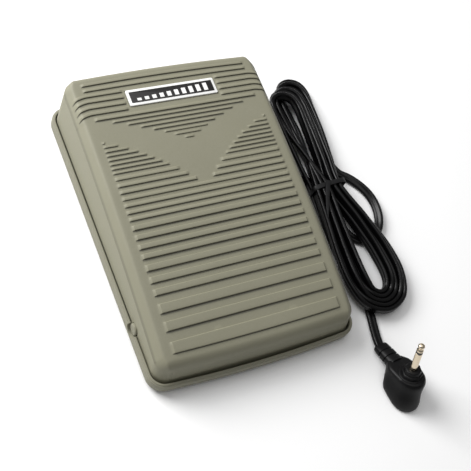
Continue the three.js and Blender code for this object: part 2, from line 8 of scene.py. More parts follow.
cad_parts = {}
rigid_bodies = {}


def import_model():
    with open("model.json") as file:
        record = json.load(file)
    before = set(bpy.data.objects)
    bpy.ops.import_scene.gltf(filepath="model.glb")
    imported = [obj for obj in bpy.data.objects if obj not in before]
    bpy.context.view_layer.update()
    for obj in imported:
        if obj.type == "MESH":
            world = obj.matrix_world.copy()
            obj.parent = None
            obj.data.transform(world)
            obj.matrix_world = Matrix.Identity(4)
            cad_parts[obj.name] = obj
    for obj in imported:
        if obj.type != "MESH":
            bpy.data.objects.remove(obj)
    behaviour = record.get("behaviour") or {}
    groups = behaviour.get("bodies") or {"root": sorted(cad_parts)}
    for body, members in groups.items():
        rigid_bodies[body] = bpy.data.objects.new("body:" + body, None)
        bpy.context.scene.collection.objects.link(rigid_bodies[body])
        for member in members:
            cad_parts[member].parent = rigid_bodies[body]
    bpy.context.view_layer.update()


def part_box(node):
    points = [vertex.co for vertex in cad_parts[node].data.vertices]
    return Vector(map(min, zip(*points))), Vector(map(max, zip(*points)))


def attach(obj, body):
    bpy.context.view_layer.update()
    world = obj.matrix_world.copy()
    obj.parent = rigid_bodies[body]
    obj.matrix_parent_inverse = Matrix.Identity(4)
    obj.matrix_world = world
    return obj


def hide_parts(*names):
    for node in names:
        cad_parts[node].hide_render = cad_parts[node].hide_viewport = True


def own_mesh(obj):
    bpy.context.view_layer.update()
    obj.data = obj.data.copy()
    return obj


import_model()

bl_info = {
    "name": "Sewing Machine Foot Pedal",
    "version": (1, 0, 0),
    "blender": (4, 5, 0),
    "location": "View3D > Sidebar > Foot Pedal",
    "description": "Builds the visible pieces of a sewing machine foot pedal",
    "category": "Object",
}

MM = 0.001
COVER_LOW, COVER_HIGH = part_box("treadle_cover")
TRAY_LOW, TRAY_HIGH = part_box("base_tray")
BADGE_LOW, BADGE_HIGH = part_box("badge_plate")


# ---------------------------------------------------------------- sizes and colours

def length_prop(name, text, default, low=0.0, high=1.0):
    return bpy.props.FloatProperty(
        name=name, description=text, default=default, min=low, max=high,
        subtype="DISTANCE", unit="LENGTH", precision=5)


def colour_prop(name, text, default):
    return bpy.props.FloatVectorProperty(
        name=name, description=text, default=default, size=3, min=0.0, max=1.0, subtype="COLOR")


def factor_prop(name, text, default, low=0.0, high=1.0):
    return bpy.props.FloatProperty(
        name=name, description=text, default=default, min=low, max=high, subtype="FACTOR")


class PedalHousingSettings(bpy.types.PropertyGroup):
    """Sizes and colours of the treadle cover, its badge and the tray"""
    half_width: length_prop("Half width", "Cover, from the centre line to a side wall",
                            (COVER_HIGH.x - COVER_LOW.x) / 2)
    wall: length_prop("Wall", "Thickness of the cover's wall", 0.002)
    rib_height: length_prop("Rib height", "How far a rib's step stands up", 0.0008)
    badge_border: length_prop("Badge border", "Width of the pale frame on the badge", 0.0013)
    olive: colour_prop("Cover colour", "Moulded plastic of the treadle cover",
                       (0.222, 0.214, 0.150))
    olive_base: colour_prop("Tray colour", "Moulded plastic of the tray",
                            (0.205, 0.198, 0.143))
    grain: factor_prop("Grain", "Strength of the moulded grain", 0.5)
    wear: factor_prop("Edge wear", "How much lighter the handled edges are", 0.35)
    dust: factor_prop("Dust", "Pale dust on faces that look up", 0.10)


class PedalLeadSettings(bpy.types.PropertyGroup):
    """Sizes and colour of the twin lead and its hank"""
    width: length_prop("Width", "Across both conductors", 0.005)
    thickness: length_prop("Thickness", "Of one insulated conductor", 0.0026)
    ring_step: length_prop("Ring step", "Distance between the mesh rings along the lead", 0.002)
    black: colour_prop("Lead colour", "Black PVC of the lead", (0.0015, 0.0015, 0.0018))


class PedalPlugSettings(bpy.types.PropertyGroup):
    """Sizes and colours of the right-angle jack plug"""
    half_width: length_prop("Half width", "Of the moulded body", 0.0078)
    black: colour_prop("Plug colour", "Moulded body of the plug", (0.0025, 0.0025, 0.0028))
    nickel: colour_prop("Jack colour", "Plated metal of the pin", (0.72, 0.62, 0.47))


class PedalStageSettings(bpy.types.PropertyGroup):
    """Floor, lights and camera"""
    floor: colour_prop("Floor colour", "Plain pale floor", (0.98, 0.98, 0.98))
    key_power: bpy.props.FloatProperty(
        name="Key light", description="Power of the large soft light", default=13.0, min=0.0,
        subtype="POWER", unit="POWER")
    fill_power: bpy.props.FloatProperty(
        name="Overhead light", description="Power of the overhead light", default=3.2, min=0.0,
        subtype="POWER", unit="POWER")
    sky: bpy.props.FloatProperty(
        name="Surroundings", description="Brightness of the white surroundings", default=0.24,
        min=0.0)
    lens: bpy.props.FloatProperty(
        name="Lens", description="Focal length of the camera", default=73.17, min=10.0,
        subtype="DISTANCE_CAMERA", unit="CAMERA")


# ---------------------------------------------------------------- shader node groups

def new_group(name, inputs, outputs):
    group = bpy.data.node_groups.new(name, "ShaderNodeTree")
    for label, kind, default in inputs:
        socket = group.interface.new_socket(label, in_out="INPUT", socket_type=kind)
        socket.default_value = default
    for label, kind in outputs:
        group.interface.new_socket(label, in_out="OUTPUT", socket_type=kind)
    start = group.nodes.new("NodeGroupInput")
    end = group.nodes.new("NodeGroupOutput")
    return group, start, end


def add_node(tree, kind, **values):
    node = tree.nodes.new(kind)
    for key, value in values.items():
        if key.startswith("in_"):
            node.inputs[int(key[3:])].default_value = value
        else:
            setattr(node, key, value)
    return node


def math_node(tree, operation, a, b=None, clamp=False):
    node = add_node(tree, "ShaderNodeMath", operation=operation, use_clamp=clamp)
    for slot, value in ((0, a), (1, b)):
        if value is None:
            continue
        if isinstance(value, (int, float)):
            node.inputs[slot].default_value = value
        else:
            tree.links.new(value, node.inputs[slot])
    return node.outputs[0]


def noise_node(tree, vector, scale, detail=3.0, roughness=0.5):
    node = add_node(tree, "ShaderNodeTexNoise")
    node.inputs["Detail"].default_value = detail
    node.inputs["Roughness"].default_value = roughness
    if isinstance(scale, (int, float)):
        node.inputs["Scale"].default_value = scale
    else:
        tree.links.new(scale, node.inputs["Scale"])
    tree.links.new(vector, node.inputs["Vector"])
    return node.outputs["Fac"]


def moulded_grain_group():
    """Spark-eroded mould texture: a fine height, and a slow change of tone."""
    group, start, end = new_group(
        "Moulded grain",
        [("Scale", "NodeSocketFloat", 1400.0), ("Strength", "NodeSocketFloat", 0.5)],
        [(label, "NodeSocketFloat") for label in ("Height", "Tone", "Roughness")])
    place = add_node(group, "ShaderNodeTexCoord").outputs["Object"]
    fine = noise_node(group, place, start.outputs["Scale"], 4.0, 0.65)
    finer_scale = math_node(group, "MULTIPLY", start.outputs["Scale"], 2.7)
    finer = noise_node(group, place, finer_scale, 2.0, 0.5)
    both = math_node(group, "ADD", math_node(group, "MULTIPLY", fine, 0.65),
                     math_node(group, "MULTIPLY", finer, 0.35))
    group.links.new(math_node(group, "MULTIPLY", both, start.outputs["Strength"]),
                    end.inputs["Height"])
    slow = noise_node(group, place, 38.0, 3.0, 0.55)
    tone = math_node(group, "ADD", math_node(group, "MULTIPLY", slow, 0.7),
                     math_node(group, "MULTIPLY", both, 0.3))
    group.links.new(tone, end.inputs["Tone"])
    gloss = math_node(group, "ADD", math_node(group, "MULTIPLY", slow, 0.12), 0.46)
    gloss = math_node(group, "ADD", gloss, math_node(group, "MULTIPLY", both, 0.08))
    group.links.new(gloss, end.inputs["Roughness"])
    return group


def edge_wear_group():
    """Mask of handled edges, broken up by noise."""
    group, start, end = new_group(
        "Edge wear", [("Amount", "NodeSocketFloat", 0.5)], [("Mask", "NodeSocketFloat")])
    shape = add_node(group, "ShaderNodeNewGeometry")
    ramp = add_node(group, "ShaderNodeMapRange", clamp=True)
    ramp.inputs["From Min"].default_value = 0.515
    ramp.inputs["From Max"].default_value = 0.60
    group.links.new(shape.outputs["Pointiness"], ramp.inputs["Value"])
    place = add_node(group, "ShaderNodeTexCoord").outputs["Object"]
    broken = noise_node(group, place, 260.0, 4.0, 0.6)
    mask = math_node(group, "MULTIPLY", ramp.outputs["Result"], broken)
    group.links.new(math_node(group, "MULTIPLY", mask, start.outputs["Amount"], clamp=True),
                    end.inputs["Mask"])
    return group


def dust_group():
    """Mask of dust: on faces that look up, gathered in patches."""
    group, start, end = new_group(
        "Dust", [("Amount", "NodeSocketFloat", 0.2)], [("Mask", "NodeSocketFloat")])
    shape = add_node(group, "ShaderNodeNewGeometry")
    split = add_node(group, "ShaderNodeSeparateXYZ")
    group.links.new(shape.outputs["Normal"], split.inputs[0])
    up = math_node(group, "MAXIMUM", split.outputs["Z"], 0.0)
    place = add_node(group, "ShaderNodeTexCoord").outputs["Object"]
    patches = noise_node(group, place, 55.0, 5.0, 0.65)
    specks = noise_node(group, place, 900.0, 2.0, 0.5)
    spread = math_node(group, "MULTIPLY", patches, specks)
    mask = math_node(group, "MULTIPLY", math_node(group, "POWER", up, 3.0), spread)
    group.links.new(math_node(group, "MULTIPLY", mask, start.outputs["Amount"], clamp=True),
                    end.inputs["Mask"])
    return group


GROUPS = {}


def shared_group(name):
    makers = {"grain": moulded_grain_group, "wear": edge_wear_group, "dust": dust_group}
    if name not in GROUPS:
        GROUPS[name] = makers[name]()
    return GROUPS[name]


def use_group(tree, name, **values):
    node = add_node(tree, "ShaderNodeGroup", node_tree=shared_group(name))
    for key, value in values.items():
        node.inputs[key].default_value = value
    return node


def mix_colour(tree, factor, first, second):
    node = add_node(tree, "ShaderNodeMix", data_type="RGBA")
    for slot, value in ((0, factor), (6, first), (7, second)):
        if isinstance(value, (tuple, float)):
            node.inputs[slot].default_value = value
        else:
            tree.links.new(value, node.inputs[slot])
    return node.outputs[2]


def shade_of(colour, factor):
    return tuple(min(1.0, c * factor) for c in colour) + (1.0,)


# The first factor darkens the colour as painted shade in rib steps and shoulder lines; the second
# lightens worn edges.
GROOVE_SHADE, WORN_SHADE = 0.16, 1.55
DUST_COLOUR = (0.62, 0.60, 0.55, 1.0)
# The grain group's own roughness on a plain face, which a finish is measured from.
GRAIN_ROUGHNESS = 0.56


def finish_material(name, colour, roughness=0.5, metallic=0.0, tone=0.12, grain=0.3,
                    grain_scale=1400.0, bump=0.00012, wear=0.0, dust=0.0, groove=0.0,
                    specular=0.5):
    """A moulded or plated finish from the shared groups, with its own values, darkened by painted
    shade where the mesh marks it.
    """
    material = bpy.data.materials.new(name)
    material.use_nodes = True
    tree = material.node_tree
    shader = tree.nodes["Principled BSDF"]
    shader.inputs["Metallic"].default_value = metallic
    shader.inputs["Specular IOR Level"].default_value = specular
    surface = use_group(tree, "grain", Scale=grain_scale, Strength=grain)
    base = mix_colour(tree, surface.outputs["Tone"], shade_of(colour, 1 - tone),
                      shade_of(colour, 1 + tone))
    # Painted shade: the colour is darkened where the mesh's shade attribute marks rib steps and
    # shoulder lines.
    if groove:
        shade_attribute = add_node(tree, "ShaderNodeAttribute", attribute_name="groove")
        factor = math_node(tree, "MULTIPLY", shade_attribute.outputs["Fac"], groove, clamp=True)
        base = mix_colour(tree, factor, base, shade_of(colour, GROOVE_SHADE))
    if wear:
        worn = use_group(tree, "wear", Amount=wear)
        base = mix_colour(tree, worn.outputs["Mask"], base, shade_of(colour, WORN_SHADE))
    if dust:
        dusty = use_group(tree, "dust", Amount=dust)
        base = mix_colour(tree, dusty.outputs["Mask"], base, DUST_COLOUR)
    tree.links.new(base, shader.inputs["Base Color"])
    rough = math_node(tree, "ADD", surface.outputs["Roughness"], roughness - GRAIN_ROUGHNESS,
                      clamp=True)
    tree.links.new(rough, shader.inputs["Roughness"])
    relief = add_node(tree, "ShaderNodeBump")
    relief.inputs["Strength"].default_value = 1.0
    relief.inputs["Distance"].default_value = bump
    tree.links.new(surface.outputs["Height"], relief.inputs["Height"])
    tree.links.new(relief.outputs["Normal"], shader.inputs["Normal"])
    return material


MATERIALS = {}


def material(key):
    """The material of one finish, made when it is first asked for."""
    if key in MATERIALS:
        return MATERIALS[key]
    scene = bpy.context.scene
    housing, lead, plug = scene.pedal_housing, scene.pedal_lead, scene.pedal_plug
    olive, olive_base = tuple(housing.olive), tuple(housing.olive_base)
    grain, wear, dust = housing.grain, housing.wear, housing.dust
    recipes = {
        # The cover's colour is darkened by painted shade in its rib steps and along its shoulder
        # lines.
        "cover": ("Olive moulded plastic", olive, dict(
            roughness=0.58, tone=0.07, bump=0.00018, grain=grain, wear=wear, dust=dust,
            groove=0.9)),
        "tray": ("Olive base plastic", olive_base, dict(
            roughness=0.6, tone=0.06, grain=grain, wear=wear, dust=dust * 0.6)),
        "lead": ("Black PVC lead", tuple(lead.black), dict(
            roughness=0.27, tone=0.3, grain=0.3, grain_scale=900.0, bump=0.00004, dust=0.01,
            specular=0.22)),
        "tie": ("Black twist tie", (0.006, 0.006, 0.0065), dict(
            roughness=0.48, tone=0.3, grain=0.5, grain_scale=1800.0, bump=0.00006, specular=0.3)),
        "plug": ("Moulded black plug", tuple(plug.black), dict(
            roughness=0.42, tone=0.25, grain=0.5, grain_scale=1500.0, bump=0.00006, dust=0.01,
            specular=0.18)),
        "jack": ("Plated jack pin", tuple(plug.nickel), dict(
            roughness=0.2, metallic=1.0, tone=0.06, grain=0.15, grain_scale=2500.0, bump=0.00002)),
        "insulator": ("Black insulator ring", (0.012, 0.012, 0.012), dict(
            roughness=0.4, tone=0.2, grain=0.2)),
        "rubber": ("Black rubber", (0.018, 0.018, 0.018), dict(
            roughness=0.8, tone=0.25, grain=0.8, grain_scale=1100.0, dust=0.2)),
        "steel": ("Zinc plated steel", (0.55, 0.55, 0.53), dict(
            roughness=0.34, metallic=1.0, tone=0.1, grain=0.4, grain_scale=1900.0, bump=0.00004)),
        "nylon": ("White nylon", (0.74, 0.71, 0.62), dict(
            roughness=0.5, tone=0.05, grain=0.3)),
        "board": ("Green circuit board", (0.028, 0.16, 0.06), dict(
            roughness=0.42, tone=0.3, grain=0.3, grain_scale=700.0)),
        "component": ("Dark component case", (0.02, 0.028, 0.04), dict(
            roughness=0.42, tone=0.2, grain=0.4)),
        "badge_pale": ("Badge white", (0.86, 0.86, 0.84), dict(
            roughness=0.38, tone=0.03, grain=0.1)),
        "badge_dark": ("Badge black", (0.014, 0.013, 0.013), dict(
            roughness=0.36, tone=0.2, grain=0.15)),
    }
    name, colour, values = recipes[key]
    MATERIALS[key] = finish_material(name, colour, **values)
    return MATERIALS[key]


# ---------------------------------------------------------------- mesh helpers

def round_angles(count):
    """Evenly spaced angles of one full turn."""
    return [2 * math.pi * k / count for k in range(count)]


def rounded_square(count, power):
    """Points (x, y) on a unit circle that a power below 1 swells towards a square."""
    return [(math.copysign(abs(math.cos(a)) ** power, math.cos(a)),
             math.copysign(abs(math.sin(a)) ** power, math.sin(a))) for a in round_angles(count)]


def new_piece(name, points, faces, materials, face_material=None, sharp=32.0, groove=None):
    """A mesh piece from points in millimetres."""
    mesh = bpy.data.meshes.new(name)
    mesh.from_pydata([(x * MM, y * MM, z * MM) for x, y, z in points], [], faces)
    for key in materials:
        mesh.materials.append(material(key))
    if face_material:
        mesh.polygons.foreach_set("material_index", face_material)
    # Per-point painted shade, which darkens the material's colour.
    if groove is not None:
        layer = mesh.attributes.new("groove", "FLOAT", "POINT")
        layer.data.foreach_set("value", groove)
    mesh.validate()
    piece = bpy.data.objects.new(name, mesh)
    bpy.context.scene.collection.objects.link(piece)
    tidy_mesh(piece, sharp)
    return piece


def tidy_mesh(piece, sharp=32.0):
    """Outward normals, smooth faces, and sharp edges only where the shape turns hard."""
    work = bmesh.new()
    work.from_mesh(piece.data)
    bmesh.ops.recalc_face_normals(work, faces=work.faces[:])
    work.to_mesh(piece.data)
    work.free()
    piece.data.polygons.foreach_set("use_smooth", [True] * len(piece.data.polygons))
    piece.data.set_sharp_from_angle(angle=math.radians(sharp))
    piece.data.update()


class Build:
    """Collects the points and faces of one piece, in millimetres."""

    def __init__(self):
        self.points = []
        self.faces = []
        self.finish = []

    def add(self, points, faces, finish=0):
        first = len(self.points)
        self.points += [tuple(p) for p in points]
        self.faces += [tuple(first + i for i in face) for face in faces]
        self.finish += [finish] * len(faces)

    def rings(self, rings, closed=False, finish=0):
        """Joins rings of equal length, and closes the first and last with a fan."""
        count = len(rings[0])
        points = [p for ring in rings for p in ring]
        faces = []
        last = len(rings) if closed else len(rings) - 1
        for i in range(last):
            a, b = i * count, ((i + 1) % len(rings)) * count
            faces += [(a + j, a + (j + 1) % count, b + (j + 1) % count, b + j)
                      for j in range(count)]
        if not closed:
            for ring, start in ((rings[0], 0), (rings[-1], (len(rings) - 1) * count)):
                middle = sum((Vector(p) for p in ring), Vector()) / count
                points.append(tuple(middle))
                centre = len(points) - 1
                faces += [(start + j, start + (j + 1) % count, centre) for j in range(count)]
        self.add(points, faces, finish)

    def turned(self, stations, place, sides=32, finish=0):
        """A turned solid from (distance, radius) stations; place moves a point to its place."""
        rings = [[place(Vector((radius * math.cos(a), radius * math.sin(a), along)))
                  for a in round_angles(sides)]
                 for along, radius in stations]
        self.rings(rings, finish=finish)

    def piece(self, name, materials, sharp=32.0):
        return new_piece(name, self.points, self.faces, materials, self.finish, sharp)


def upright(x, y):
    return lambda p: (p.x + x, p.y + y, p.z)


def sideways(y, z, side=1):
    return lambda p: (side * p.z, p.x + y, p.y + z)


def cut_with(piece, cutters):
    """Cuts closed rods out of a piece."""
    for cutter in cutters:
        change = piece.modifiers.new("cut", "BOOLEAN")
        change.operation = "DIFFERENCE"
        change.solver = "EXACT"
        change.object = cutter
    graph = bpy.context.evaluated_depsgraph_get()
    mesh = bpy.data.meshes.new_from_object(piece.evaluated_get(graph))
    piece.modifiers.clear()
    piece.data = mesh
    for cutter in cutters:
        bpy.data.objects.remove(cutter)
    tidy_mesh(piece)


def side_rod(name, x0, x1, y, z, radius, side, key="tray"):
    rod = Build()
    rod.turned([(x0, radius), (x1, radius)], sideways(y, z, side), 48)
    return rod.piece(name, [key])


def plan_outline(half_width, half_length, bow, corner, per_corner=10, per_end=24, per_side=30):
    """Rounded rectangle whose two short ends bow outwards, as in the frame."""
    points = []
    inner = half_width - corner
    straight_end = half_length - bow - corner

    def arc(x, y, begin):
        for i in range(per_corner + 1):
            angle = math.radians(begin + 90 * i / per_corner)
            points.append((x + corner * math.cos(angle), y + corner * math.sin(angle)))

    for end in (-1, 1):
        for i in range(per_end):
            share = -1 + 2 * i / per_end
            points.append((-end * inner * share, end * (half_length - bow * share * share)))
        arc(-end * inner, end * straight_end, end * 90)
        for i in range(1, per_side):
            points.append((-end * half_width, end * straight_end * (1 - 2 * i / per_side)))
        arc(-end * inner, -end * straight_end, end * 90 + 90)
    return [p for i, p in enumerate(points)
            if (Vector(p) - Vector(points[i - 1])).length > 1e-4]


# ---------------------------------------------------------------- stage

CAMERA_AT = (-0.1903, -0.1900, 0.4133)
CAMERA_AZIMUTH = -49.14
CAMERA_ELEVATION = 56.32
CAMERA_ROLL = 30.74
FLOOR_HALF = 3.0
KEY_LIGHT_AT, KEY_LIGHT_SIZE = (-0.50, 0.60, 0.56), (0.6, 0.6)
OVERHEAD_LIGHT_AT, OVERHEAD_LIGHT_SIZE = (0.0, 0.20, 1.05), (0.9, 0.9)


class PEDAL_OT_build_stage(bpy.types.Operator):
    """Makes the pale floor, the soft lights and the camera"""
    bl_idname = "pedal.build_stage"
    bl_label = "Build stage"

    def execute(self, context):
        values = context.scene.pedal_stage
        self.make_floor(values)
        self.make_light("key_light", KEY_LIGHT_AT, KEY_LIGHT_SIZE, values.key_power)
        self.make_light("overhead_light", OVERHEAD_LIGHT_AT, OVERHEAD_LIGHT_SIZE,
                        values.fill_power)
        world = bpy.data.worlds.new("studio")
        world.use_nodes = True
        sky = world.node_tree.nodes["Background"]
        sky.inputs["Color"].default_value = (1.0, 1.0, 1.0, 1.0)
        sky.inputs["Strength"].default_value = values.sky
        context.scene.world = world
        context.scene.view_settings.view_transform = "Standard"
        self.make_camera(context.scene, values)
        return {"FINISHED"}

    def make_floor(self, values):
        mesh = bpy.data.meshes.new("floor")
        work = bmesh.new()
        bmesh.ops.create_grid(work, x_segments=8, y_segments=8, size=FLOOR_HALF)
        work.to_mesh(mesh)
        work.free()
        floor = bpy.data.objects.new("floor", mesh)
        bpy.context.scene.collection.objects.link(floor)
        paint = bpy.data.materials.new("Pale floor")
        paint.use_nodes = True
        shader = paint.node_tree.nodes["Principled BSDF"]
        shader.inputs["Base Color"].default_value = (*values.floor, 1.0)
        shader.inputs["Roughness"].default_value = 0.9
        shader.inputs["Specular IOR Level"].default_value = 0.1
        mesh.materials.append(paint)

    def make_light(self, name, at, size, power):
        light = bpy.data.lights.new(name, "AREA")
        light.shape = "RECTANGLE"
        light.size, light.size_y = size
        light.energy = power
        lamp = bpy.data.objects.new(name, light)
        lamp.location = at
        lamp.rotation_mode = "QUATERNION"
        lamp.rotation_quaternion = Vector(at).to_track_quat("Z", "Y")
        bpy.context.scene.collection.objects.link(lamp)

    def make_camera(self, scene, values):
        azimuth, elevation, roll = (
            math.radians(a) for a in (CAMERA_AZIMUTH, CAMERA_ELEVATION, CAMERA_ROLL))
        back = Vector((math.sin(azimuth) * math.cos(elevation),
                       -math.cos(azimuth) * math.cos(elevation), math.sin(elevation)))
        level = Vector((math.cos(azimuth), math.sin(azimuth), 0.0))
        rise = back.cross(level)
        right = level * math.cos(roll) + rise * math.sin(roll)
        up = rise * math.cos(roll) - level * math.sin(roll)
        camera = bpy.data.objects.new("camera", bpy.data.cameras.new("camera"))
        camera.data.lens = values.lens
        camera.data.sensor_width = 36.0
        camera.data.clip_start = 0.01
        camera.data.clip_end = 20.0
        turn = Matrix((right, up, back)).transposed().to_4x4()
        camera.matrix_world = Matrix.Translation(CAMERA_AT) @ turn
        scene.collection.objects.link(camera)
        scene.camera = camera


# ---------------------------------------------------------------- lead, hank and tie

TURNS = 6
NEAR_LOOP = (80.0, -55.5)
NEAR_RADII = (17.0, 14.4, 11.8, 9.2, 6.6)
# Far loops: centre x, centre y, radius, height of the lead's middle, roll.
FAR_LOOPS = (
    (86.3, 67.3, 7.7, 2.7, 42.0), (83.9, 64.6, 7.6, 4.9, 56.0), (80.7, 61.6, 7.6, 5.4, 38.0),
    (78.4, 59.6, 7.4, 7.6, 60.0), (75.6, 57.8, 7.6, 7.9, 44.0), (73.6, 56.0, 7.0, 9.8, 54.0),
)
# Where each run passes through the tie: x and height.
LEFT_AT_TIE = ((68.9, 9.7), (71.5, 5.4), (72.2, 9.9), (74.8, 5.4), (75.5, 9.8), (68.2, 5.2))
RIGHT_AT_TIE = (None, (85.3, 5.3), (82.6, 9.7), (81.9, 5.4), (79.1, 9.9), (78.3, 5.4))
TIE_Y = 2.0
# The free stretch from the strain relief, out in a loose loop and under the hank; x, y, z.
LEAD_ROUTE = (
    (66.6, 12.0, 2.1), (69.2, 10.9, 1.7), (72.2, 8.8, 1.45), (74.8, 5.0, 1.4), (76.4, 0.0, 1.4),
    (77.0, -10.0, 1.4), (78.0, -19.0, 1.4), (80.8, -26.5, 1.4), (86.5, -30.6, 1.4),
    (93.0, -30.0, 1.4), (98.6, -26.0, 1.4), (102.2, -19.5, 1.4), (103.6, -12.0, 1.4),
    (102.8, -4.5, 1.4), (99.8, 2.4, 1.4), (95.8, 7.8, 1.6), (91.4, 12.0, 1.9),
)
TAIL_ROUTE = (
    (71.6, -64.0, 1.4), (70.9, -70.0, 1.4), (69.4, -77.0, 1.4), (68.0, -83.5, 1.6),
    (67.3, -87.4, 2.0),
)
# The free stretch lifts off the floor and rolls over from this row of LEAD_ROUTE on.
LOOSE_FROM, LOOSE_LIFT, LOOSE_ROLL = 8, 1.0, 38.0
# The lead's ends, in its relief and in the plug, and its runs into and out of the hank;
# x, y, z, roll.
IN_RELIEF, IN_PLUG = (61.5, 12.0, 3.5, 0.0), (66.6, -91.5, 3.0, 0.0)
INTO_HANK = ((88.9, 19.0, 2.0, 5.0), (89.3, 28.0, 2.3, 20.0), (91.2, 43.0, 2.7, 35.0))
OUT_OF_HANK = ((67.0, -20.0, 3.6, 60.0), (67.9, -38.0, 2.0, 20.0), (70.4, -52.0, 1.5, 4.0))
# Heights in the near loops: where a run leaves one, where a low or a high run enters the
# next, and on the way round.
NEAR_EXIT, LOW_ENTRY, HIGH_ENTRY, NEAR_HEIGHTS = 5.3, 5.8, 8.2, (6.2, 4.4, 3.9)


def along(a, b, share):
    return a + (b - a) * share


def lead_route():
    """Control points (x, y, z, roll) of the whole lead; roll is 0 flat and 90 on edge."""
    route = [IN_RELIEF]
    for i, (x, y, z) in enumerate(LEAD_ROUTE):
        loose = max(0.0, math.sin(math.pi * (i - LOOSE_FROM) / 8)) if i > LOOSE_FROM else 0.0
        route.append((x, y, z + LOOSE_LIFT * loose, LOOSE_ROLL * loose))
    near_x, near_y = NEAR_LOOP
    for turn in range(TURNS):
        far_x, far_y, far_r, far_z, far_roll = FAR_LOOPS[turn]
        if turn == 0:
            route += INTO_HANK
        else:
            tie_x, tie_z = RIGHT_AT_TIE[turn]
            near_side = near_x + NEAR_RADII[turn - 1]
            far_side = far_x + far_r
            route += [
                (along(near_side, tie_x, 0.03), -40.0, along(NEAR_EXIT, tie_z, 0.4), 84.0),
                (along(near_side, tie_x, 0.42), -21.0, along(NEAR_EXIT, tie_z, 0.75), 80.0),
                (tie_x, TIE_Y, tie_z, 86.0),
                (along(tie_x, far_side, 0.42), 20.0, along(tie_z, far_z, 0.35), 72.0),
                (along(tie_x, far_side, 0.90), 42.0, along(tie_z, far_z, 0.8), 60.0),
            ]
        for k in range(5):
            angle = math.pi * k / 4
            route.append((far_x + far_r * math.cos(angle), far_y + far_r * math.sin(angle),
                          far_z, far_roll))
        tie_x, tie_z = LEFT_AT_TIE[turn]
        far_side = far_x - far_r
        route += [
            (along(far_side, tie_x, 0.12), 40.0, along(far_z, tie_z, 0.3), 60.0),
            (along(far_side, tie_x, 0.6), 20.0, along(far_z, tie_z, 0.75), 74.0),
            (tie_x, TIE_Y, tie_z, 86.0),
        ]
        if turn == TURNS - 1:
            route += OUT_OF_HANK
            continue
        radius = NEAR_RADII[turn]
        near_side = near_x - radius
        over = LOW_ENTRY if tie_z < 7 else HIGH_ENTRY
        route += [
            (along(tie_x, near_side, 0.42), -19.0, along(tie_z, over, 0.4), 80.0),
            (along(tie_x, near_side, 0.88), -38.0, along(tie_z, over, 0.8), 84.0),
        ]
        next_z = RIGHT_AT_TIE[turn + 1][1]
        heights = (over, *NEAR_HEIGHTS, along(4.6, next_z, 0.35))
        for k, height in enumerate(heights):
            angle = math.pi + math.pi * k / 4
            route.append((near_x + radius * math.cos(angle), near_y + radius * math.sin(angle),
                          height, 88.0))
    route += [(x, y, z, 0.0) for x, y, z in TAIL_ROUTE]
    route.append(IN_PLUG)
    return route


def smooth_line(points, step):
    """Centripetal Catmull-Rom through the points, in evenly spaced samples."""
    rows = [Vector(p) for p in points]
    rows = [2 * rows[0] - rows[1], *rows, 2 * rows[-1] - rows[-2]]
    dense = []
    for i in range(1, len(rows) - 2):
        p0, p1, p2, p3 = rows[i - 1:i + 3]
        t = [0.0]
        for a, b in ((p0, p1), (p1, p2), (p2, p3)):
            t.append(t[-1] + max((Vector(b[:3]) - Vector(a[:3])).length, 1e-6) ** 0.5)
        pieces = 12
        for k in range(pieces):
            u = along(t[1], t[2], k / pieces)
            a1 = p0 * ((t[1] - u) / (t[1] - t[0])) + p1 * ((u - t[0]) / (t[1] - t[0]))
            a2 = p1 * ((t[2] - u) / (t[2] - t[1])) + p2 * ((u - t[1]) / (t[2] - t[1]))
            a3 = p2 * ((t[3] - u) / (t[3] - t[2])) + p3 * ((u - t[2]) / (t[3] - t[2]))
            b1 = a1 * ((t[2] - u) / (t[2] - t[0])) + a2 * ((u - t[0]) / (t[2] - t[0]))
            b2 = a2 * ((t[3] - u) / (t[3] - t[1])) + a3 * ((u - t[1]) / (t[3] - t[1]))
            dense.append(b1 * ((t[2] - u) / (t[2] - t[1])) + b2 * ((u - t[1]) / (t[2] - t[1])))
    dense.append(rows[-2])
    marks = [0.0]
    for a, b in zip(dense, dense[1:]):
        marks.append(marks[-1] + (Vector(b[:3]) - Vector(a[:3])).length)
    count = round(marks[-1] / step)
    even, k = [], 0
    for i in range(count + 1):
        at = marks[-1] * i / count
        while k < len(marks) - 2 and marks[k + 1] < at:
            k += 1
        share = (at - marks[k]) / max(marks[k + 1] - marks[k], 1e-9)
        even.append(dense[k].lerp(dense[k + 1], share))
    return even, marks[-1]


def twin_section(width, thickness, per_lobe=9):
    """Outline of a twin lead: two round conductors joined at a waist."""
    radius = thickness / 2
    offset = width / 2 - radius
    points = []
    for side in (1, -1):
        for k in range(per_lobe):
            angle = math.radians(-125 + 250 * k / (per_lobe - 1))
            points.append((side * (offset + radius * math.cos(angle)),
                           side * radius * math.sin(angle)))
    return points


def sweep(line, section):
    """Rings of a section along a line of (x, y, z, roll) rows."""
    rings = []
    for i, row in enumerate(line):
        before, after = line[max(i - 1, 0)], line[min(i + 1, len(line) - 1)]
        forward = (Vector(after[:3]) - Vector(before[:3])).normalized()
        flat = forward.cross(Vector((0.0, 0.0, 1.0))).normalized()
        rise = flat.cross(forward)
        roll = math.radians(row[3])
        across = flat * math.cos(roll) + rise * math.sin(roll)
        normal = rise * math.cos(roll) - flat * math.sin(roll)
        centre = Vector(row[:3])
        rings.append([centre + across * a + normal * b for a, b in section])
    return rings


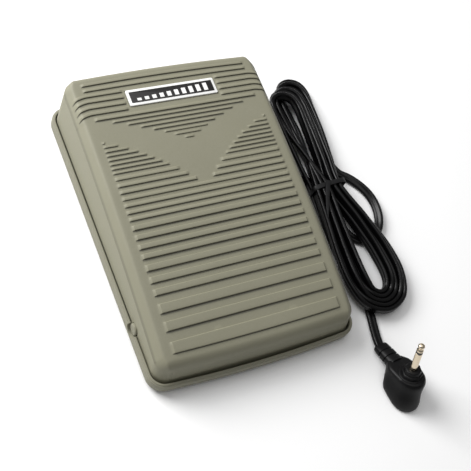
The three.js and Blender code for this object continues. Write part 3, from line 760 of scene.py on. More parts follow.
class PEDAL_OT_build_lead(bpy.types.Operator):
    """Sweeps the twin lead along its route and through the hank, with its tie and strain relief"""
    bl_idname = "pedal.build_lead"
    bl_label = "Build lead"

    def execute(self, context):
        values = context.scene.pedal_lead
        line, length = smooth_line(lead_route(), values.ring_step / MM)
        section = twin_section(values.width / MM, values.thickness / MM)
        build = Build()
        build.rings(sweep(line, section))
        lead = build.piece("twin_lead", ["lead"], sharp=75.0)
        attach(lead, "base")
        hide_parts("cord_lead", "cord_hank", "cord_tail")
        relief = self.strain_relief()
        tie = self.twist_tie()
        path = [tuple(c * MM for c in row[:3]) for row in line]
        LEAD.update(piece=lead, path=path, length=length * MM, on_it=[relief, tie])
        return {"FINISHED"}

    def strain_relief(self):
        """Flattened, ringed taper from the tray's wall to the lead."""
        low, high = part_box("strain_relief")
        y = (low.y + high.y) / 2 / MM
        build = Build()
        stations = [(51.4, 3.2, 3.2, 4.6), (53.6, 3.2, 3.2, 4.6), (53.7, 2.3, 2.3, 4.6),
                    (56.2, 2.3, 2.3, 4.6), (56.3, 3.5, 3.2, 4.6), (57.3, 3.5, 3.2, 4.6),
                    (57.6, 3.2, 2.8, 4.5)]
        for ring in range(3):
            x = 58.4 + 2.3 * ring
            z = 4.3 - 0.55 * ring
            wide, thick = 3.25 - 0.12 * ring, 2.6 - 0.32 * ring
            stations += [(x, wide - 0.5, thick - 0.45, z),
                         (x + 0.5, wide - 0.5, thick - 0.45, z - 0.12),
                         (x + 0.7, wide, thick, z - 0.2),
                         (x + 1.7, wide - 0.05, thick - 0.1, z - 0.4)]
        stations += [(65.2, 2.85, 1.7, 2.65), (65.9, 2.6, 1.5, 2.4)]
        build.rings([[(x, y + wide * math.cos(a), z + thick * math.sin(a))
                      for a in round_angles(28)]
                     for x, wide, thick, z in stations])
        relief = build.piece("lead_strain_relief", ["rubber"])
        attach(relief, "base")
        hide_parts("strain_relief")
        return relief

    def twist_tie(self):
        """Flat wire tie round the hank, with its pointed end lying over the runs."""
        x0, x1, z0, z1 = 66.3, 87.3, 2.6, 12.9
        half, thick = 1.35, 0.35
        squareness, slant, middle_x = 0.5, 0.07, 77
        loop = []
        for c, s in rounded_square(56, squareness):
            x = (x0 + x1) / 2 + (x1 - x0) / 2 * c
            z = (z0 + z1) / 2 + (z1 - z0) / 2 * s
            loop.append(Vector((x, TIE_Y + slant * (x - middle_x), z)))
        rings = []
        profile = [(-1.0, 0.0), (-0.92, 0.7), (-0.6, 1.0), (0.6, 1.0), (0.92, 0.7), (1.0, 0.0),
                   (0.92, -0.7), (0.6, -1.0), (-0.6, -1.0), (-0.92, -0.7)]
        for k, at in enumerate(loop):
            forward = (loop[(k + 1) % len(loop)] - loop[k - 1]).normalized()
            out = forward.cross(Vector((0.0, 1.0, 0.0))).normalized()
            rings.append([at + Vector((0.0, 1.0, 0.0)) * (half * a) + out * (thick * b)
                          for a, b in profile])
        build = Build()
        build.rings(rings, closed=True)
        tail = [(75.6, 3.4, 13.3, 1.0), (74.2, 1.0, 13.9, 1.0), (72.4, -2.4, 13.6, 1.0),
                (70.6, -6.4, 13.2, 0.9), (68.9, -10.6, 12.7, 0.8), (67.3, -14.6, 12.1, 0.5),
                (66.4, -17.2, 11.7, 0.12)]
        tail_rings = []
        for i, (x, y, z, wide) in enumerate(tail):
            before, after = tail[max(i - 1, 0)], tail[min(i + 1, len(tail) - 1)]
            forward = (Vector(after[:3]) - Vector(before[:3])).normalized()
            flat = forward.cross(Vector((0.0, 0.0, 1.0))).normalized()
            rise = flat.cross(forward)
            tail_rings.append([Vector((x, y, z)) + flat * (half * 0.95 * wide * a)
                               + rise * (thick * b) for a, b in profile])
        build.rings(tail_rings)
        tie = build.piece("hank_tie", ["tie"], sharp=50.0)
        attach(tie, "base")
        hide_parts("cord_tie")
        return tie


LEAD = {}


# ---------------------------------------------------------------- treadle cover

TOP_MID, TOP_RISE, TOP_SAG, TOP_SPAN = 30.2, 9.1, 4.0, 85.0
COVER_NEAR, COVER_FAR, COVER_BOW, COVER_CORNER = -76.1, 77.8, 1.7, 7.6
COVER_HALF_LENGTH = 77.0
NEAR_ROLL, FAR_ROLL = 4.6, 3.0
# How far the walls have spread at the skirt's lower edge; the last is added at a heel
# corner, to a side and to the end.
FLARE_SIDE, FLARE_HEEL, FLARE_TOE, FLARE_CORNER = 0.45, 2.3, 0.7, (0.4, 0.2)
SKIRT_TOE, SKIRT_HEEL, SKIRT_STEP_Y = 7.7, 4.2, -43.6
SHOULDER_WIDTH, SHOULDER_SLOPE = 3.5, 1.27
# The darker line of painted shade along the top of each side wall: its depth, width and ends.
SHOULDER_LINE, SHOULDER_LINE_WIDTH, SHOULDER_LINE_ENDS = 0.30, 0.6, (-70.0, 72.0)
# Near the side walls the columns follow the plan's rounded corners.
CORNER_BAND = 9.4
# Shares of the shoulder's drop that the toe end loses, and of the bow that the top keeps.
TOE_EASE, TOP_BOW = 0.3, 0.6
HINGE_Y, HINGE_Z, HINGE_HOLE = -48.0, 7.9, 3.3
RIB_END = 44.8
# The third to sixth ribs from the toe end run on over the shoulders and bend to the heel.
LONG_RIBS, LONG_RIB_END = range(3, 7), 51.4
RIB_BEND, RIB_BEND_FROM = 1.7, 44.5
RIB_SHARE, RIB_RAMP, RIB_RAMP_SHARE = 0.55, 0.55, 0.34
LOWER_GROUPS = ((8, 2.4), (7, 3.55), (4, 4.85), (3, 6.0), (2, 8.55), (1, 10.9))
UPPER_GROUPS = ((7, 3.5), (7, 2.46))
FIRST_LOWER, FIRST_UPPER = 37.9, 71.8
# The two edges of the plain V: y on the centre line, slope and curve.
LOW_EDGE, HIGH_EDGE = (5.5, 1.13, 0.0089), (32.3, 0.57, 0.0034)
BADGE_POCKET, BADGE_GAP = 0.5, 0.36
NOTCH_Y, NOTCH_HALF, NOTCH_TOP = 12.0, 5.5, 10.5
SPRING_X, SPRING_Y, SPRING_FOOT = 28.0, 45.0, 4.0


def top_height(y):
    return TOP_MID + TOP_RISE * (y / TOP_SPAN) - TOP_SAG * (y / TOP_SPAN) ** 2


def chevron_x(edge, y):
    start, slope, curve = edge
    return (slope - math.sqrt(max(slope * slope - 4 * curve * (y - start), 0.0))) / (2 * curve)


def split_span(reach, inner):
    """Spans of x across the face: one, or two that leave the middle plain."""
    return [(-reach, -inner), (inner, reach)] if inner else [(-reach, reach)]


def rib_rows():
    """Each rib as (y of its step, pitch, list of x spans)."""
    rows = []
    y = FIRST_LOWER
    for group, (count, pitch) in enumerate(LOWER_GROUPS):
        for i in range(count):
            if group + i:
                y -= pitch
            inner = max(chevron_x(LOW_EDGE, y), 0.0) if y > LOW_EDGE[0] else 0.0
            rows.append((y, pitch, split_span(RIB_END, inner if inner > 3 else 0.0)))
    badge_edge = BADGE_HIGH.x / MM + 1.7
    badge_y0, badge_y1 = BADGE_LOW.y / MM - 1.2, BADGE_HIGH.y / MM + 1.2
    y = FIRST_UPPER
    number = 0
    for group, (count, pitch) in enumerate(UPPER_GROUPS):
        for i in range(count):
            if group + i:
                y -= pitch
            number += 1
            reach = RIB_END
            if number in LONG_RIBS:
                reach = LONG_RIB_END
            elif number > LONG_RIBS[-1]:
                reach = min(chevron_x(HIGH_EDGE, y), RIB_END)
            meets_badge = y + RIB_SHARE * pitch > badge_y0 and y < badge_y1
            spans = split_span(reach, badge_edge if meets_badge else 0.0)
            rows.append((y, pitch, [s for s in spans if s[1] - s[0] > 3]))
    return rows


def smoothstep(low, high, value):
    t = min(max((value - low) / (high - low), 0.0), 1.0)
    return t * t * (3 - 2 * t)


class PEDAL_OT_build_cover(bpy.types.Operator):
    """Shapes the treadle cover: sloping face, stepped ribs round the plain V, and skirt"""
    bl_idname = "pedal.build_cover"
    bl_label = "Build cover"

    def execute(self, context):
        values = context.scene.pedal_housing
        self.half = values.half_width / MM
        self.wall = values.wall / MM
        self.rib = values.rib_height / MM
        self.columns = self.column_places()
        self.rows = self.row_places()
        count = len(self.columns)
        # The second list holds each point's painted shade.
        outer, groove = [], []
        for row in self.rows:
            for c in self.columns:
                point, shade = self.face_point(c, row)
                outer.append(point)
                groove.append(shade)
        rim = self.border(count, len(self.rows))
        points = list(outer)
        faces = [(r * count + k, r * count + k + 1, (r + 1) * count + k + 1, (r + 1) * count + k)
                 for r in range(len(self.rows) - 1) for k in range(count - 1)]
        groove += [0.0] * self.skirt(points, faces, rim, outer)
        cover = new_piece("treadle_shell", points, faces, ["cover"], None, 30.0, groove)
        for side in (-1, 1):
            cut_with(cover, [side_rod("hole_cutter", self.half - 3, self.half + 2,
                                      HINGE_Y, HINGE_Z, HINGE_HOLE, side, "cover")])
        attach(cover, "treadle")
        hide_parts("treadle_cover")
        self.inner_bosses()
        return {"FINISHED"}

    def column_places(self):
        steps = 120
        middle = [-RIB_END + 2 * RIB_END * k / steps for k in range(steps + 1)]
        badge = BADGE_HIGH.x / MM + 0.3
        middle += [s * v for s in (-1, 1) for v in (badge, badge + 0.12)]
        from_edge = (0.0, 0.18, 0.5, 0.95, 1.5, 2.05, 2.55, 2.95, 3.3, 3.8, 4.6, 5.8, 7.2, 8.2)
        edges = [s * (self.half - d) for s in (-1, 1) for d in from_edge]
        every = sorted(middle + edges)
        return [c for i, c in enumerate(every) if i == 0 or c - every[i - 1] > 0.05]

    def rib_profile(self, along_rib, pitch):
        """Height of a rib: a sharp step on its heel side, a crowned top and a soft crease."""
        length = pitch * RIB_SHARE
        # Ribs that are set close together are lower.
        tall = self.rib * (0.6 if pitch < 3 else 0.75 if pitch < 4 else 1.0)
        ramp = min(RIB_RAMP, RIB_RAMP_SHARE * length)
        stations = (
            (-0.03, 0.0), (0.04, 0.84), (0.16, 0.96), (0.32, 1.0), (length * 0.5, 0.98),
            (length - ramp, 0.92), (length - ramp * 0.6, 0.7), (length - ramp * 0.25, 0.2),
            (length, 0.0),
        )
        for (at, low), (then, high) in zip(stations, stations[1:]):
            if at <= along_rib <= then:
                return tall * along(low, high, (along_rib - at) / max(then - at, 1e-6))
        return 0.0

    def row_places(self):
        """Rows as (y, [(height, spans)], spans of painted shade), close together where a rib
        turns.
        """
        places = [COVER_NEAR + d for d in
                  (0.0, 0.06, 0.22, 0.5, 0.9, 1.35, 1.9, 2.5, 3.2, 3.9, 4.6, 5.6, 6.4)]
        places += [COVER_FAR - d for d in
                   (0.0, 0.05, 0.2, 0.42, 0.72, 1.1, 1.6, 2.2, 3.0, 3.8, 4.8, 5.6)]
        for y, pitch, _ in rib_rows_cached():
            length = pitch * RIB_SHARE
            ramp = min(RIB_RAMP, RIB_RAMP_SHARE * length)
            places += [y - 0.1, y - 0.03, y + 0.04, y + 0.16, y + 0.32, y + length - ramp,
                       y + length - ramp * 0.6, y + length - ramp * 0.25, y + length]
        for edge, side in ((BADGE_LOW.y / MM - 0.3, -1), (BADGE_HIGH.y / MM + 0.3, 1)):
            places += [edge, edge + side * 0.12]
        places += [SKIRT_STEP_Y - 0.2, SKIRT_STEP_Y + 0.2]
        places += [NOTCH_Y + s * NOTCH_HALF + d for s in (-1, 1) for d in (-0.12, 0.12)]
        places.sort()
        kept = [places[0]]
        for y in places[1:]:
            gap = y - kept[-1]
            if gap < 0.02:
                continue
            extra = int(gap / 1.3)
            kept += [kept[-1] + gap * k / (extra + 1) for k in range(1, extra + 1)]
            kept.append(y)
        return [self.row_at(y) for y in kept]

    def row_at(self, y):
        ribs, dark = [], []
        for rib_y, pitch, spans in rib_rows_cached():
            height = self.rib_profile(y - rib_y, pitch)
            if height > 0:
                ribs.append((height, spans))
            # The foot of a rib's step is darkened with painted shade.
            if -0.11 < y - rib_y < 0.02:
                dark += spans
        return y, ribs, dark

    def outline_x(self, y):
        """Half width of the plan outline at y."""
        corner = COVER_CORNER
        half = self.half
        edge = min(y - COVER_NEAR, COVER_FAR - y)
        if edge >= corner:
            return half
        reach = corner * corner - (corner - max(edge, 0.0)) ** 2
        return half - corner + math.sqrt(max(reach, 0.0))

    def face_point(self, c, row):
        y, ribs, dark = row
        inner_limit = self.half - CORNER_BAND
        wide = self.outline_x(y)
        x = c
        if abs(c) > inner_limit:
            share = (abs(c) - inner_limit) / (self.half - inner_limit)
            x = math.copysign(along(inner_limit, wide, share), c)
        side_depth = self.half - abs(c)
        drop_side = self.shoulder(side_depth) * (1 - TOE_EASE * smoothstep(69.0, COVER_FAR, y))
        drop_end = self.roll(y - COVER_NEAR, NEAR_ROLL) + self.roll(COVER_FAR - y, FAR_ROLL)
        drop = (drop_side ** 3 + drop_end ** 3) ** (1 / 3)
        z = top_height(y) - drop
        for height, spans in ribs:
            z += height * max(min(smoothstep(-0.2, 0.5, x - a), smoothstep(-0.2, 0.5, b - x))
                              for a, b in spans)
        # Painted shade along each rib's step.
        shade = 1.0 if any(a - 0.1 < x < b + 0.1 for a, b in dark) else 0.0
        # Painted shade along the top of each side wall, weaker than at the rib steps.
        if (side_depth < SHOULDER_LINE_WIDTH
                and SHOULDER_LINE_ENDS[0] < y < SHOULDER_LINE_ENDS[1]):
            shade = max(shade, SHOULDER_LINE)
        badge_x = BADGE_HIGH.x / MM + BADGE_GAP
        badge_y0, badge_y1 = BADGE_LOW.y / MM - BADGE_GAP, BADGE_HIGH.y / MM + BADGE_GAP
        if abs(x) < badge_x and badge_y0 < y < badge_y1:
            z -= BADGE_POCKET
        bend = RIB_BEND * max((abs(x) - RIB_BEND_FROM) / 7.0, 0.0) ** 1.6
        bend *= smoothstep(69.8, 66.0, y) * smoothstep(50.0, 53.5, y)
        bow = 0.0
        if abs(y) > 60:
            share = min(abs(x) / (self.half - COVER_CORNER), 1.0)
            bow = COVER_BOW * (1 - share * share) - COVER_BOW
            bow *= math.copysign(smoothstep(60.0, 75.0, abs(y)), y)
        y = y + bow * TOP_BOW - bend
        return (x, y, z), shade

    def shoulder(self, depth):
        """Drop of the shoulder at a distance from the side wall: a slope with a rounded top."""
        reach = SHOULDER_WIDTH - depth
        return (reach + math.sqrt(reach * reach + 0.25)) / 2 * SHOULDER_SLOPE

    def roll(self, depth, radius):
        if depth >= radius:
            return 0.0
        return radius - math.sqrt(max(radius * radius - (radius - max(depth, 0.0)) ** 2, 0.0))

    def border(self, count, rows):
        """Indices round the rim of the grid, in order."""
        rim = list(range(count))
        rim += [r * count + count - 1 for r in range(1, rows)]
        rim += [(rows - 1) * count + k for k in range(count - 2, -1, -1)]
        rim += [r * count for r in range(rows - 2, 0, -1)]
        return rim

    def skirt_bottom(self, x, y):
        if x > self.half - 3 and abs(y - NOTCH_Y) < NOTCH_HALF + 0.05:
            return NOTCH_TOP
        return SKIRT_TOE if y > SKIRT_STEP_Y else SKIRT_HEEL

    def skirt(self, points, faces, rim, outer):
        """Walls down to the skirt's lower edge, up the inside, and the ceiling."""
        start = len(points)
        size = len(rim)
        rings = [rim]
        for share in (0.04, 0.12, 0.35, 0.7, 0.93, 0.985, 1.0):
            ring = []
            for i in rim:
                x, y, z = outer[i]
                low = self.skirt_bottom(x, y)
                ring.append(len(points))
                tuck = 0.18 if share == 1.0 else 0.0
                wide, long = self.flare(x, y, share)
                points.append((x * (1 + (wide - tuck) / self.half),
                               y * (1 + (long - tuck) / COVER_HALF_LENGTH),
                               along(z, low, share)))
            rings.append(ring)
        for share in (1.0, 0.985, 0.5, 0.0):
            ring = []
            for i in rim:
                x, y, z = outer[i]
                low = self.skirt_bottom(x, y)
                tuck = 0.15 if share < 1.0 else 0.0
                wide, long = self.flare(x, y, share)
                sx = 1 - (self.wall - wide + tuck) / self.half
                sy = 1 - (self.wall - long + tuck) / COVER_HALF_LENGTH
                ring.append(len(points))
                points.append((x * sx, y * sy, along(z - self.wall, low, share)))
            rings.append(ring)
        rim_height = [points[i][2] for i in rings[-1]]
        for share in (0.93, 0.86, 0.6, 0.3, 0.05):
            ring = []
            for i, edge in zip(rings[-1], rim_height):
                x, y, _ = points[i]
                level = top_height(y * share) - self.wall
                ring.append(len(points))
                points.append((x * share, y * share,
                               level if share < 0.9 else along(edge, level, 0.8)))
            rings.append(ring)
        for a, b in zip(rings, rings[1:]):
            faces += [(a[k], a[(k + 1) % size], b[(k + 1) % size], b[k]) for k in range(size)]
        points.append((0.0, 0.0, top_height(0.0) - self.wall))
        last, middle = rings[-1], len(points) - 1
        faces += [(last[k], last[(k + 1) % size], middle) for k in range(size)]
        return len(points) - start

    def flare(self, x, y, share):
        """How far a wall has spread at a share of its depth, at the sides and at the ends."""
        end = smoothstep(60.0, 74.0, abs(y)) * (FLARE_HEEL if y < 0 else FLARE_TOE)
        corner = smoothstep(44.0, 51.0, abs(x)) * smoothstep(64.0, 72.0, -y)
        to_side, to_end = FLARE_CORNER
        return (FLARE_SIDE + to_side * corner) * share, (end + to_end * corner) * share

    def inner_bosses(self):
        """Spring sockets and the pad that carries the rack, under the treading face."""
        build = Build()
        ceiling = top_height(SPRING_Y) - 1.7
        for side in (-1, 1):
            build.turned([(ceiling, 8.4), (ceiling - 8.1, 8.4), (ceiling - 8.5, 8.0),
                          (ceiling - 8.5, 7.4), (ceiling - 8.1, 7.0), (ceiling - 0.9, 7.0)],
                         upright(side * SPRING_X, SPRING_Y), 40)
        pad_x, pad_y, low, high = (9, 26), (20, 35.5), 27.7, 30.6
        rings = []
        for inset, z in ((0.5, low), (0.1, low + 0.25), (0.0, low + 0.6), (0.0, high)):
            x0, x1 = pad_x[0] + inset, pad_x[1] - inset
            y0, y1 = pad_y[0] + inset, pad_y[1] - inset
            rings.append([(x0, y0, z), (x1, y0, z), (x1, y1, z), (x0, y1, z)])
        build.rings(rings)
        bosses = build.piece("treadle_bosses", ["cover"])
        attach(bosses, "treadle")


RIB_CACHE = []


def rib_rows_cached():
    if not RIB_CACHE:
        RIB_CACHE.extend(rib_rows())
    return RIB_CACHE


class PEDAL_OT_build_badge(bpy.types.Operator):
    """Makes the badge: a pale frame, a dark field and plain rising bars in place of a name"""
    bl_idname = "pedal.build_badge"
    bl_label = "Build badge"

    def execute(self, context):
        border = context.scene.pedal_housing.badge_border / MM
        low, high = BADGE_LOW / MM, BADGE_HIGH / MM
        middle = (low + high) / 2
        tilt = (TOP_RISE / TOP_SPAN) - 2 * TOP_SAG * middle.y / TOP_SPAN ** 2
        top = top_height(middle.y) + 0.62

        def on_face(x, y, z):
            return (x, middle.y + y, top + z + tilt * y)

        half_x, half_y = (high.x - low.x) / 2, (high.y - low.y) / 2
        build = Build()

        def slab(x0, x1, y0, y1, z0, z1, radius, finish):
            rings = []
            for inset, z in ((0.0, z0), (0.0, z1 - 0.12), (0.05, z1 - 0.03), (0.16, z1)):
                ring = []
                for cx, cy, start in ((x1, y0, -90), (x1, y1, 0), (x0, y1, 90), (x0, y0, 180)):
                    for k in range(5):
                        a = math.radians(start + 22.5 * k)
                        r = max(radius - inset, 0.05)
                        sx = -1 if cx == x1 else 1
                        sy = -1 if cy == y1 else 1
                        ring.append(on_face(cx + sx * radius + r * math.cos(a),
                                            cy + sy * radius + r * math.sin(a), z))
                rings.append(ring)
            build.rings(rings, finish=finish)

        slab(-half_x, half_x, -half_y, half_y, -0.9, 0.0, 0.6, 0)
        field_x, field_y = half_x - border, half_y - border
        slab(-field_x, field_x, -field_y, field_y, -0.1, 0.06, 0.25, 1)
        bars, pitch, half_bar = 10, 4.1, 1.15
        shortest, growth = 1.6, 0.32
        foot = -half_y + border + 0.95
        for k in range(bars):
            x = (k - (bars - 1) / 2) * pitch
            tall = shortest + growth * k
            slab(x - half_bar, x + half_bar, foot, foot + tall, 0.0, 0.14, 0.12, 0)
        badge = build.piece("badge_face", ["badge_pale", "badge_dark"])
        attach(badge, "treadle")
        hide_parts("badge_plate")
        return {"FINISHED"}


# ---------------------------------------------------------------- tray

TRAY_CORNER, TRAY_BOW, TRAY_WALL, TRAY_FLOOR = 8.4, 1.7, 1.8, 3.2
FOOT_X, FOOT_Y, FOOT_RADIUS, FOOT_DEPTH = 44.0, 68.0, 7.3, 2.6
EXIT_Z, EXIT_RADIUS = 4.6, 2.6
# From inside the tray's side wall to outside it, for the rods that cut through it.
WALL_SPAN = (53, 58)
# Places of the posts under the board's and the clamp's screws: x and y.
BOARD_POSTS = ((-16, 24), (17, 60), (-16, 60), (17, 24))
CLAMP_POSTS = ((44, 4), (44, 20))


class PEDAL_OT_build_tray(bpy.types.Operator):
    """Shapes the shallow tray with rounded rim, pin notches, lead exit, ears and posts"""
    bl_idname = "pedal.build_tray"
    bl_label = "Build tray"

    def execute(self, context):
        half_x = (TRAY_HIGH.x - TRAY_LOW.x) / 2 / MM
        half_y = (TRAY_HIGH.y - TRAY_LOW.y) / 2 / MM
        stations = [
            (2.4, 1.8), (1.3, 1.8), (0.6, 1.95), (0.15, 2.4), (0.0, 3.2), (0.0, 4.6), (0.0, 6.6),
            (0.05, 7.0), (0.18, 7.35), (0.45, 7.5), (0.62, 7.52), (0.70, 7.6), (0.78, 7.88),
            (0.95, 7.98), (1.3, 8.0), (1.64, 7.94), (1.78, 7.72), (TRAY_WALL, 7.3),
            (TRAY_WALL, 3.4), (1.9, 3.24), (2.1, TRAY_FLOOR), (4.0, TRAY_FLOOR),
        ]
        rings = []
        for inset, z in stations:
            outline = plan_outline(half_x - inset, half_y - inset, TRAY_BOW,
                                   TRAY_CORNER - inset * 0.9)
            rings.append([(x, y, z) for x, y in outline])
        build = Build()
        build.rings(rings)
        tray = build.piece("tray_shell", ["tray"])
        cutters = [side_rod("notch_cutter", *WALL_SPAN, HINGE_Y, HINGE_Z, 3.7, side)
                   for side in (-1, 1)]
        cutters.append(side_rod("exit_cutter", *WALL_SPAN, NOTCH_Y, EXIT_Z, EXIT_RADIUS, 1))
        cutters.append(self.exit_slot())
        cutters += [self.foot_recess(x, y) for x in (-FOOT_X, FOOT_X) for y in (-FOOT_Y, FOOT_Y)]
        for cutter in cutters:
            cut_with(tray, [cutter])
        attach(tray, "base")
        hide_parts("base_tray")
        self.inner_fittings()
        return {"FINISHED"}

    def foot_recess(self, x, y):
        rod = Build()
        rod.turned([(0.0, FOOT_RADIUS), (FOOT_DEPTH, FOOT_RADIUS)], upright(x, y), 48)
        return rod.piece("recess_cutter", ["tray"])

    def exit_slot(self):
        y0, y1, low, high = NOTCH_Y - EXIT_RADIUS, NOTCH_Y + EXIT_RADIUS, EXIT_Z, EXIT_Z + 6
        slot = Build()
        slot.rings([[(x, y0, low), (x, y1, low), (x, y1, high), (x, y0, high)]
                    for x in WALL_SPAN])
        return slot.piece("slot_cutter", ["tray"])

    def inner_fittings(self):
        """Hinge ears, spring seats and screw posts on the tray's floor."""
        build = Build()
        for side in (-1, 1):
            rings = []
            for x in (47.6, 47.8, 50.5, 50.7):
                inset = 0.25 if x in (47.6, 50.7) else 0.0
                y0, y1 = HINGE_Y - 6 + inset, HINGE_Y + 6 - inset
                outline = [(y0, 3.0), (y1, 3.0), (y1, 9.0 - inset)]
                for k in range(13):
                    a = math.pi * k / 12
                    outline.append((HINGE_Y + (6 - inset) * math.cos(a),
                                    8.2 + (5.3 - inset) * math.sin(a)))
                outline.append((y0, 9.0 - inset))
                rings.append([(side * x, y, z) for y, z in outline])
            build.rings(rings)
            build.turned([(3.0, 4.1), (3.5, 3.8), (8.7, 3.8), (9.0, 3.5)],
                         upright(side * SPRING_X, SPRING_Y))
        for posts, top in ((BOARD_POSTS, 4.7), (CLAMP_POSTS, 6.0)):
            for x, y in posts:
                build.turned([(3.0, 3.2), (3.4, 3.0), (top - 0.1, 3.0), (top, 2.9)], upright(x, y))
        fittings = build.piece("tray_fittings", ["tray"])
        for side in (-1, 1):
            cut_with(fittings, [side_rod("pin_cutter", 46, 52, HINGE_Y, HINGE_Z, 2.3, side)])
        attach(fittings, "base")


# ---------------------------------------------------------------- plug

PLUG_AT = Vector((69.6, -110.9, 10.3))
PLUG_LEAN, PLUG_YAW = 20.0, 6.0
# Where the floor cuts the leaning plug, in the plug's own directions.
FOOT_TILT = math.tan(math.radians(PLUG_LEAN))
FOOT_Z = (0.15 - PLUG_AT.z) / math.cos(math.radians(PLUG_LEAN))


def on_plug(p):
    turn = Matrix.Rotation(math.radians(PLUG_YAW), 3, "Z") @ Matrix.Rotation(
        math.radians(-PLUG_LEAN), 3, "X")
    return PLUG_AT + turn @ Vector(p)


class PEDAL_OT_build_plug(bpy.types.Operator):
    """Moulds the right-angle plug: rounded body, ribbed relief, collar, and the plated jack"""
    bl_idname = "pedal.build_plug"
    bl_label = "Build plug"

    def execute(self, context):
        half = context.scene.pedal_plug.half_width / MM
        pieces = [self.body(half), self.relief(), self.collar()]
        pieces += self.jack()
        for piece, node, slot in pieces:
            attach(piece, "base")
            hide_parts(node)
        LEAD["on_it"] += [piece for piece, _, _ in pieces]
        return {"FINISHED"}

    def body_outline(self, half, inset, reach, height):
        """Round end away from the lead, shoulders drawn in to the relief."""
        points = []
        for k in range(25):
            a = math.pi + math.pi * k / 24
            points.append(((half - inset) * math.cos(a), (half - inset) * 1.08 * math.sin(a)))
        curve = [(1.0, 0.24), (0.99, 0.45), (0.97, 0.62), (0.90, 0.76), (0.78, 0.87), (0.68, 0.95),
                 (0.62, 1.0)]
        right = [(half * x - inset, reach * y - inset * 0.3) for x, y in curve]
        left = [(-x, y) for x, y in reversed(right)]
        outline = points + right + left
        low = smoothstep(2.0, -7.0, height)
        return [(x * (0.93 if x > 0 else 1.0 + 0.16 * low) - 1.5 * low,
                 y - 1.5 * low * smoothstep(4.0, -4.0, y)) for x, y in outline]

    def body(self, half):
        """Deep block that stands on its flat base and leans, with a round ledge for the collar."""
        build = Build()
        rings = []
        for inset, share, reach in (
                (2.2, 0.0, 8.5), (1.0, 0.005, 8.7), (0.35, 0.03, 8.9), (0.0, 0.09, 9.2),
                (0.0, 0.2, 9.8), (0.35, 0.35, 10.6), (0.6, 0.5, 11.6), (0.5, 0.64, 12.4),
                (0.2, 0.76, 12.6), (0.05, 0.86, 12.6), (0.3, 0.93, 12.6), (0.9, 0.98, 12.5),
                (1.8, 1.0, 12.4)):
            ring = []
            for x, y in self.body_outline(half, inset, reach, along(-12.0, 3.6, share)):
                foot = FOOT_Z + FOOT_TILT * y
                top = 3.6 - 0.10 * max(y - 4, 0)
                ring.append(on_plug((x, y, along(foot, top, share))))
            rings.append(ring)
        build.rings(rings)
        ledge = []
        for inset, z in ((0.0, 2.4), (0.0, 3.5), (0.12, 3.8), (0.4, 3.95), (0.9, 4.0)):
            radius = 6.35 - inset
            ledge.append([on_plug((radius * math.cos(a), 0.2 + radius * math.sin(a), z))
                          for a in round_angles(48)])
        build.rings(ledge)
        return build.piece("jack_plug_body", ["plug"]), "plug_body", "lead_pvc"

    def relief(self):
        stations = [(10.8, 4.5, 3.6), (13.6, 4.45, 3.2), (14.4, 4.4, 3.1), (14.6, 3.8, 2.55),
                    (15.5, 3.8, 2.5), (15.7, 4.3, 3.0), (18.4, 4.25, 2.85), (18.6, 3.65, 2.3),
                    (19.5, 3.6, 2.2), (19.7, 4.2, 2.5), (23.2, 4.05, 2.0), (23.8, 3.8, 1.85),
                    (24.0, 3.3, 1.6)]
        middle_z = -0.1
        build = Build()
        build.rings([[on_plug((wide * c, y, middle_z + thick * s))
                      for c, s in rounded_square(40, 0.75)]
                     for y, wide, thick in stations])
        return build.piece("jack_plug_relief", ["plug"]), "plug_strain_relief", "lead_pvc"

    def collar(self):
        build = Build()
        build.turned([(3.6, 5.3), (5.1, 5.25), (5.45, 5.1), (5.6, 4.75), (5.65, 4.35), (7.6, 4.2),
                      (7.95, 4.05), (8.1, 3.7), (8.15, 2.3), (8.1, 2.0), (7.2, 1.95)],
                     on_plug, 8)
        collar = build.piece("jack_plug_collar", ["plug"], sharp=75.0)
        return collar, "plug_collar", "lead_pvc"

    def jack(self):
        made = []
        for name, node, key, slot, stations in (
            ("jack_sleeve", "plug_sleeve", "jack", "jack_metal",
             [(4.2, 1.75), (19.6, 1.75), (19.9, 1.68), (20.0, 1.55)]),
            ("jack_insulator", "plug_insulator", "insulator", "insulator",
             [(20.0, 1.5), (20.1, 1.72), (21.1, 1.72), (21.2, 1.5)]),
            ("jack_tip", "plug_tip", "jack", "jack_metal",
             [(21.2, 1.5), (21.35, 1.72), (22.0, 1.74), (22.25, 1.6), (22.7, 1.2), (23.1, 1.12),
              (23.5, 1.2), (24.0, 1.55), (24.5, 1.72), (25.0, 1.62), (25.4, 1.3), (25.7, 0.8),
              (25.8, 0.3)]),
        ):
            build = Build()
            build.turned(stations, on_plug, 40)
            made.append((build.piece(name, [key], sharp=50.0), node, slot))
        return made


# ---------------------------------------------------------------- springs and fittings

class PEDAL_OT_build_springs(bpy.types.Operator):
    """Winds the two return springs"""
    bl_idname = "pedal.build_springs"
    bl_label = "Build springs"

    def execute(self, context):
        radius, wire, turns, low, high = 5.0, 0.55, 8, SPRING_FOOT, 30.2
        section = [(wire * math.cos(a), wire * math.sin(a)) for a in round_angles(10)]
        for name, side in (("left", -1), ("right", 1)):
            line = []
            steps = turns * 28
            for k in range(steps + 1):
                share = k / steps
                a = 2 * math.pi * turns * share
                line.append((side * SPRING_X + radius * math.cos(a),
                             SPRING_Y + radius * math.sin(a), along(low, high, share), 0.0))
            build = Build()
            build.rings(sweep(line, section))
            spring = build.piece("spring_coil_" + name, ["steel"], sharp=75.0)
            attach(spring, "base")
            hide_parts("return_spring_" + name)
            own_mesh(spring)
        return {"FINISHED"}


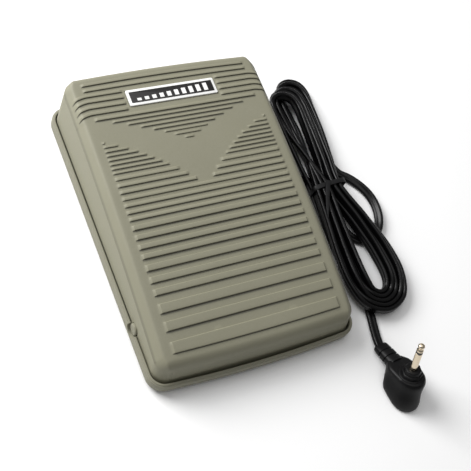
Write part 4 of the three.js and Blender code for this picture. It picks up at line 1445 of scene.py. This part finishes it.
class PEDAL_OT_finish_fittings(bpy.types.Operator):
    """Gives every carried-over part its own finish"""
    bl_idname = "pedal.finish_fittings"
    bl_label = "Finish fittings"

    FINISHES = (
        ("rack_sector", "nylon"), ("pinion_gear", "nylon"), ("cord_clamp", "nylon"),
        ("rack_screw", "steel"), ("pinion_shaft", "steel"), ("pin_clip", "steel"),
        ("board_screw", "steel"), ("clamp_screw", "steel"), ("rotary_control", "component"),
        ("capacitor", "component"), ("resistor", "nylon"), ("circuit_board", "board"),
        ("pivot_pin", "tray"), ("rubber_foot", "rubber"), ("stop_bumper", "rubber"),
        ("inner_lead", "lead"),
    )

    def execute(self, context):
        for start, key in self.FINISHES:
            found = [item for item in context.scene.objects
                     if item.name.startswith(start) and item.type == "MESH"]
            if not found:
                raise RuntimeError("no part of the frame is named " + start)
            for slot in (slot for item in found for slot in item.material_slots):
                slot.material = material(key)
        return {"FINISHED"}


class PEDAL_OT_declare_cord(bpy.types.Operator):
    """Stops with an error if the lead has not been built yet"""
    bl_idname = "pedal.declare_cord"
    bl_label = "Declare cord"

    def execute(self, context):
        if "piece" not in LEAD:
            raise RuntimeError("build the lead before declaring it")
        return {"FINISHED"}


class PEDAL_PT_panel(bpy.types.Panel):
    """Lists the pedal's builders and their sizes"""
    bl_label = "Foot Pedal"
    bl_idname = "PEDAL_PT_panel"
    bl_space_type = "VIEW_3D"
    bl_region_type = "UI"
    bl_category = "Foot Pedal"

    def draw(self, context):
        layout = self.layout
        for operator in OPERATORS:
            layout.operator(operator.bl_idname)
        for name in SETTINGS:
            box = layout.box()
            values = getattr(context.scene, name)
            for key in values.bl_rna.properties.keys():
                if key not in ("rna_type", "name"):
                    box.prop(values, key)


SETTINGS = {
    "pedal_housing": PedalHousingSettings,
    "pedal_lead": PedalLeadSettings,
    "pedal_plug": PedalPlugSettings,
    "pedal_stage": PedalStageSettings,
}
OPERATORS = (
    PEDAL_OT_build_stage, PEDAL_OT_build_lead, PEDAL_OT_build_plug, PEDAL_OT_declare_cord,
    PEDAL_OT_build_cover, PEDAL_OT_build_badge, PEDAL_OT_build_tray, PEDAL_OT_build_springs,
    PEDAL_OT_finish_fittings,
)
CLASSES = (*SETTINGS.values(), *OPERATORS, PEDAL_PT_panel)


def register():
    for cls in CLASSES:
        bpy.utils.register_class(cls)
    for name, group in SETTINGS.items():
        setattr(bpy.types.Scene, name, bpy.props.PointerProperty(type=group))


def unregister():
    for name in SETTINGS:
        delattr(bpy.types.Scene, name)
    for cls in reversed(CLASSES):
        bpy.utils.unregister_class(cls)


def main():
    register()
    bpy.ops.pedal.build_stage()
    bpy.ops.pedal.build_lead()
    bpy.ops.pedal.build_plug()
    bpy.ops.pedal.declare_cord()
    bpy.ops.pedal.build_cover()
    bpy.ops.pedal.build_badge()
    bpy.ops.pedal.build_tray()
    bpy.ops.pedal.build_springs()
    bpy.ops.pedal.finish_fittings()


if __name__ == "__main__":
    main()
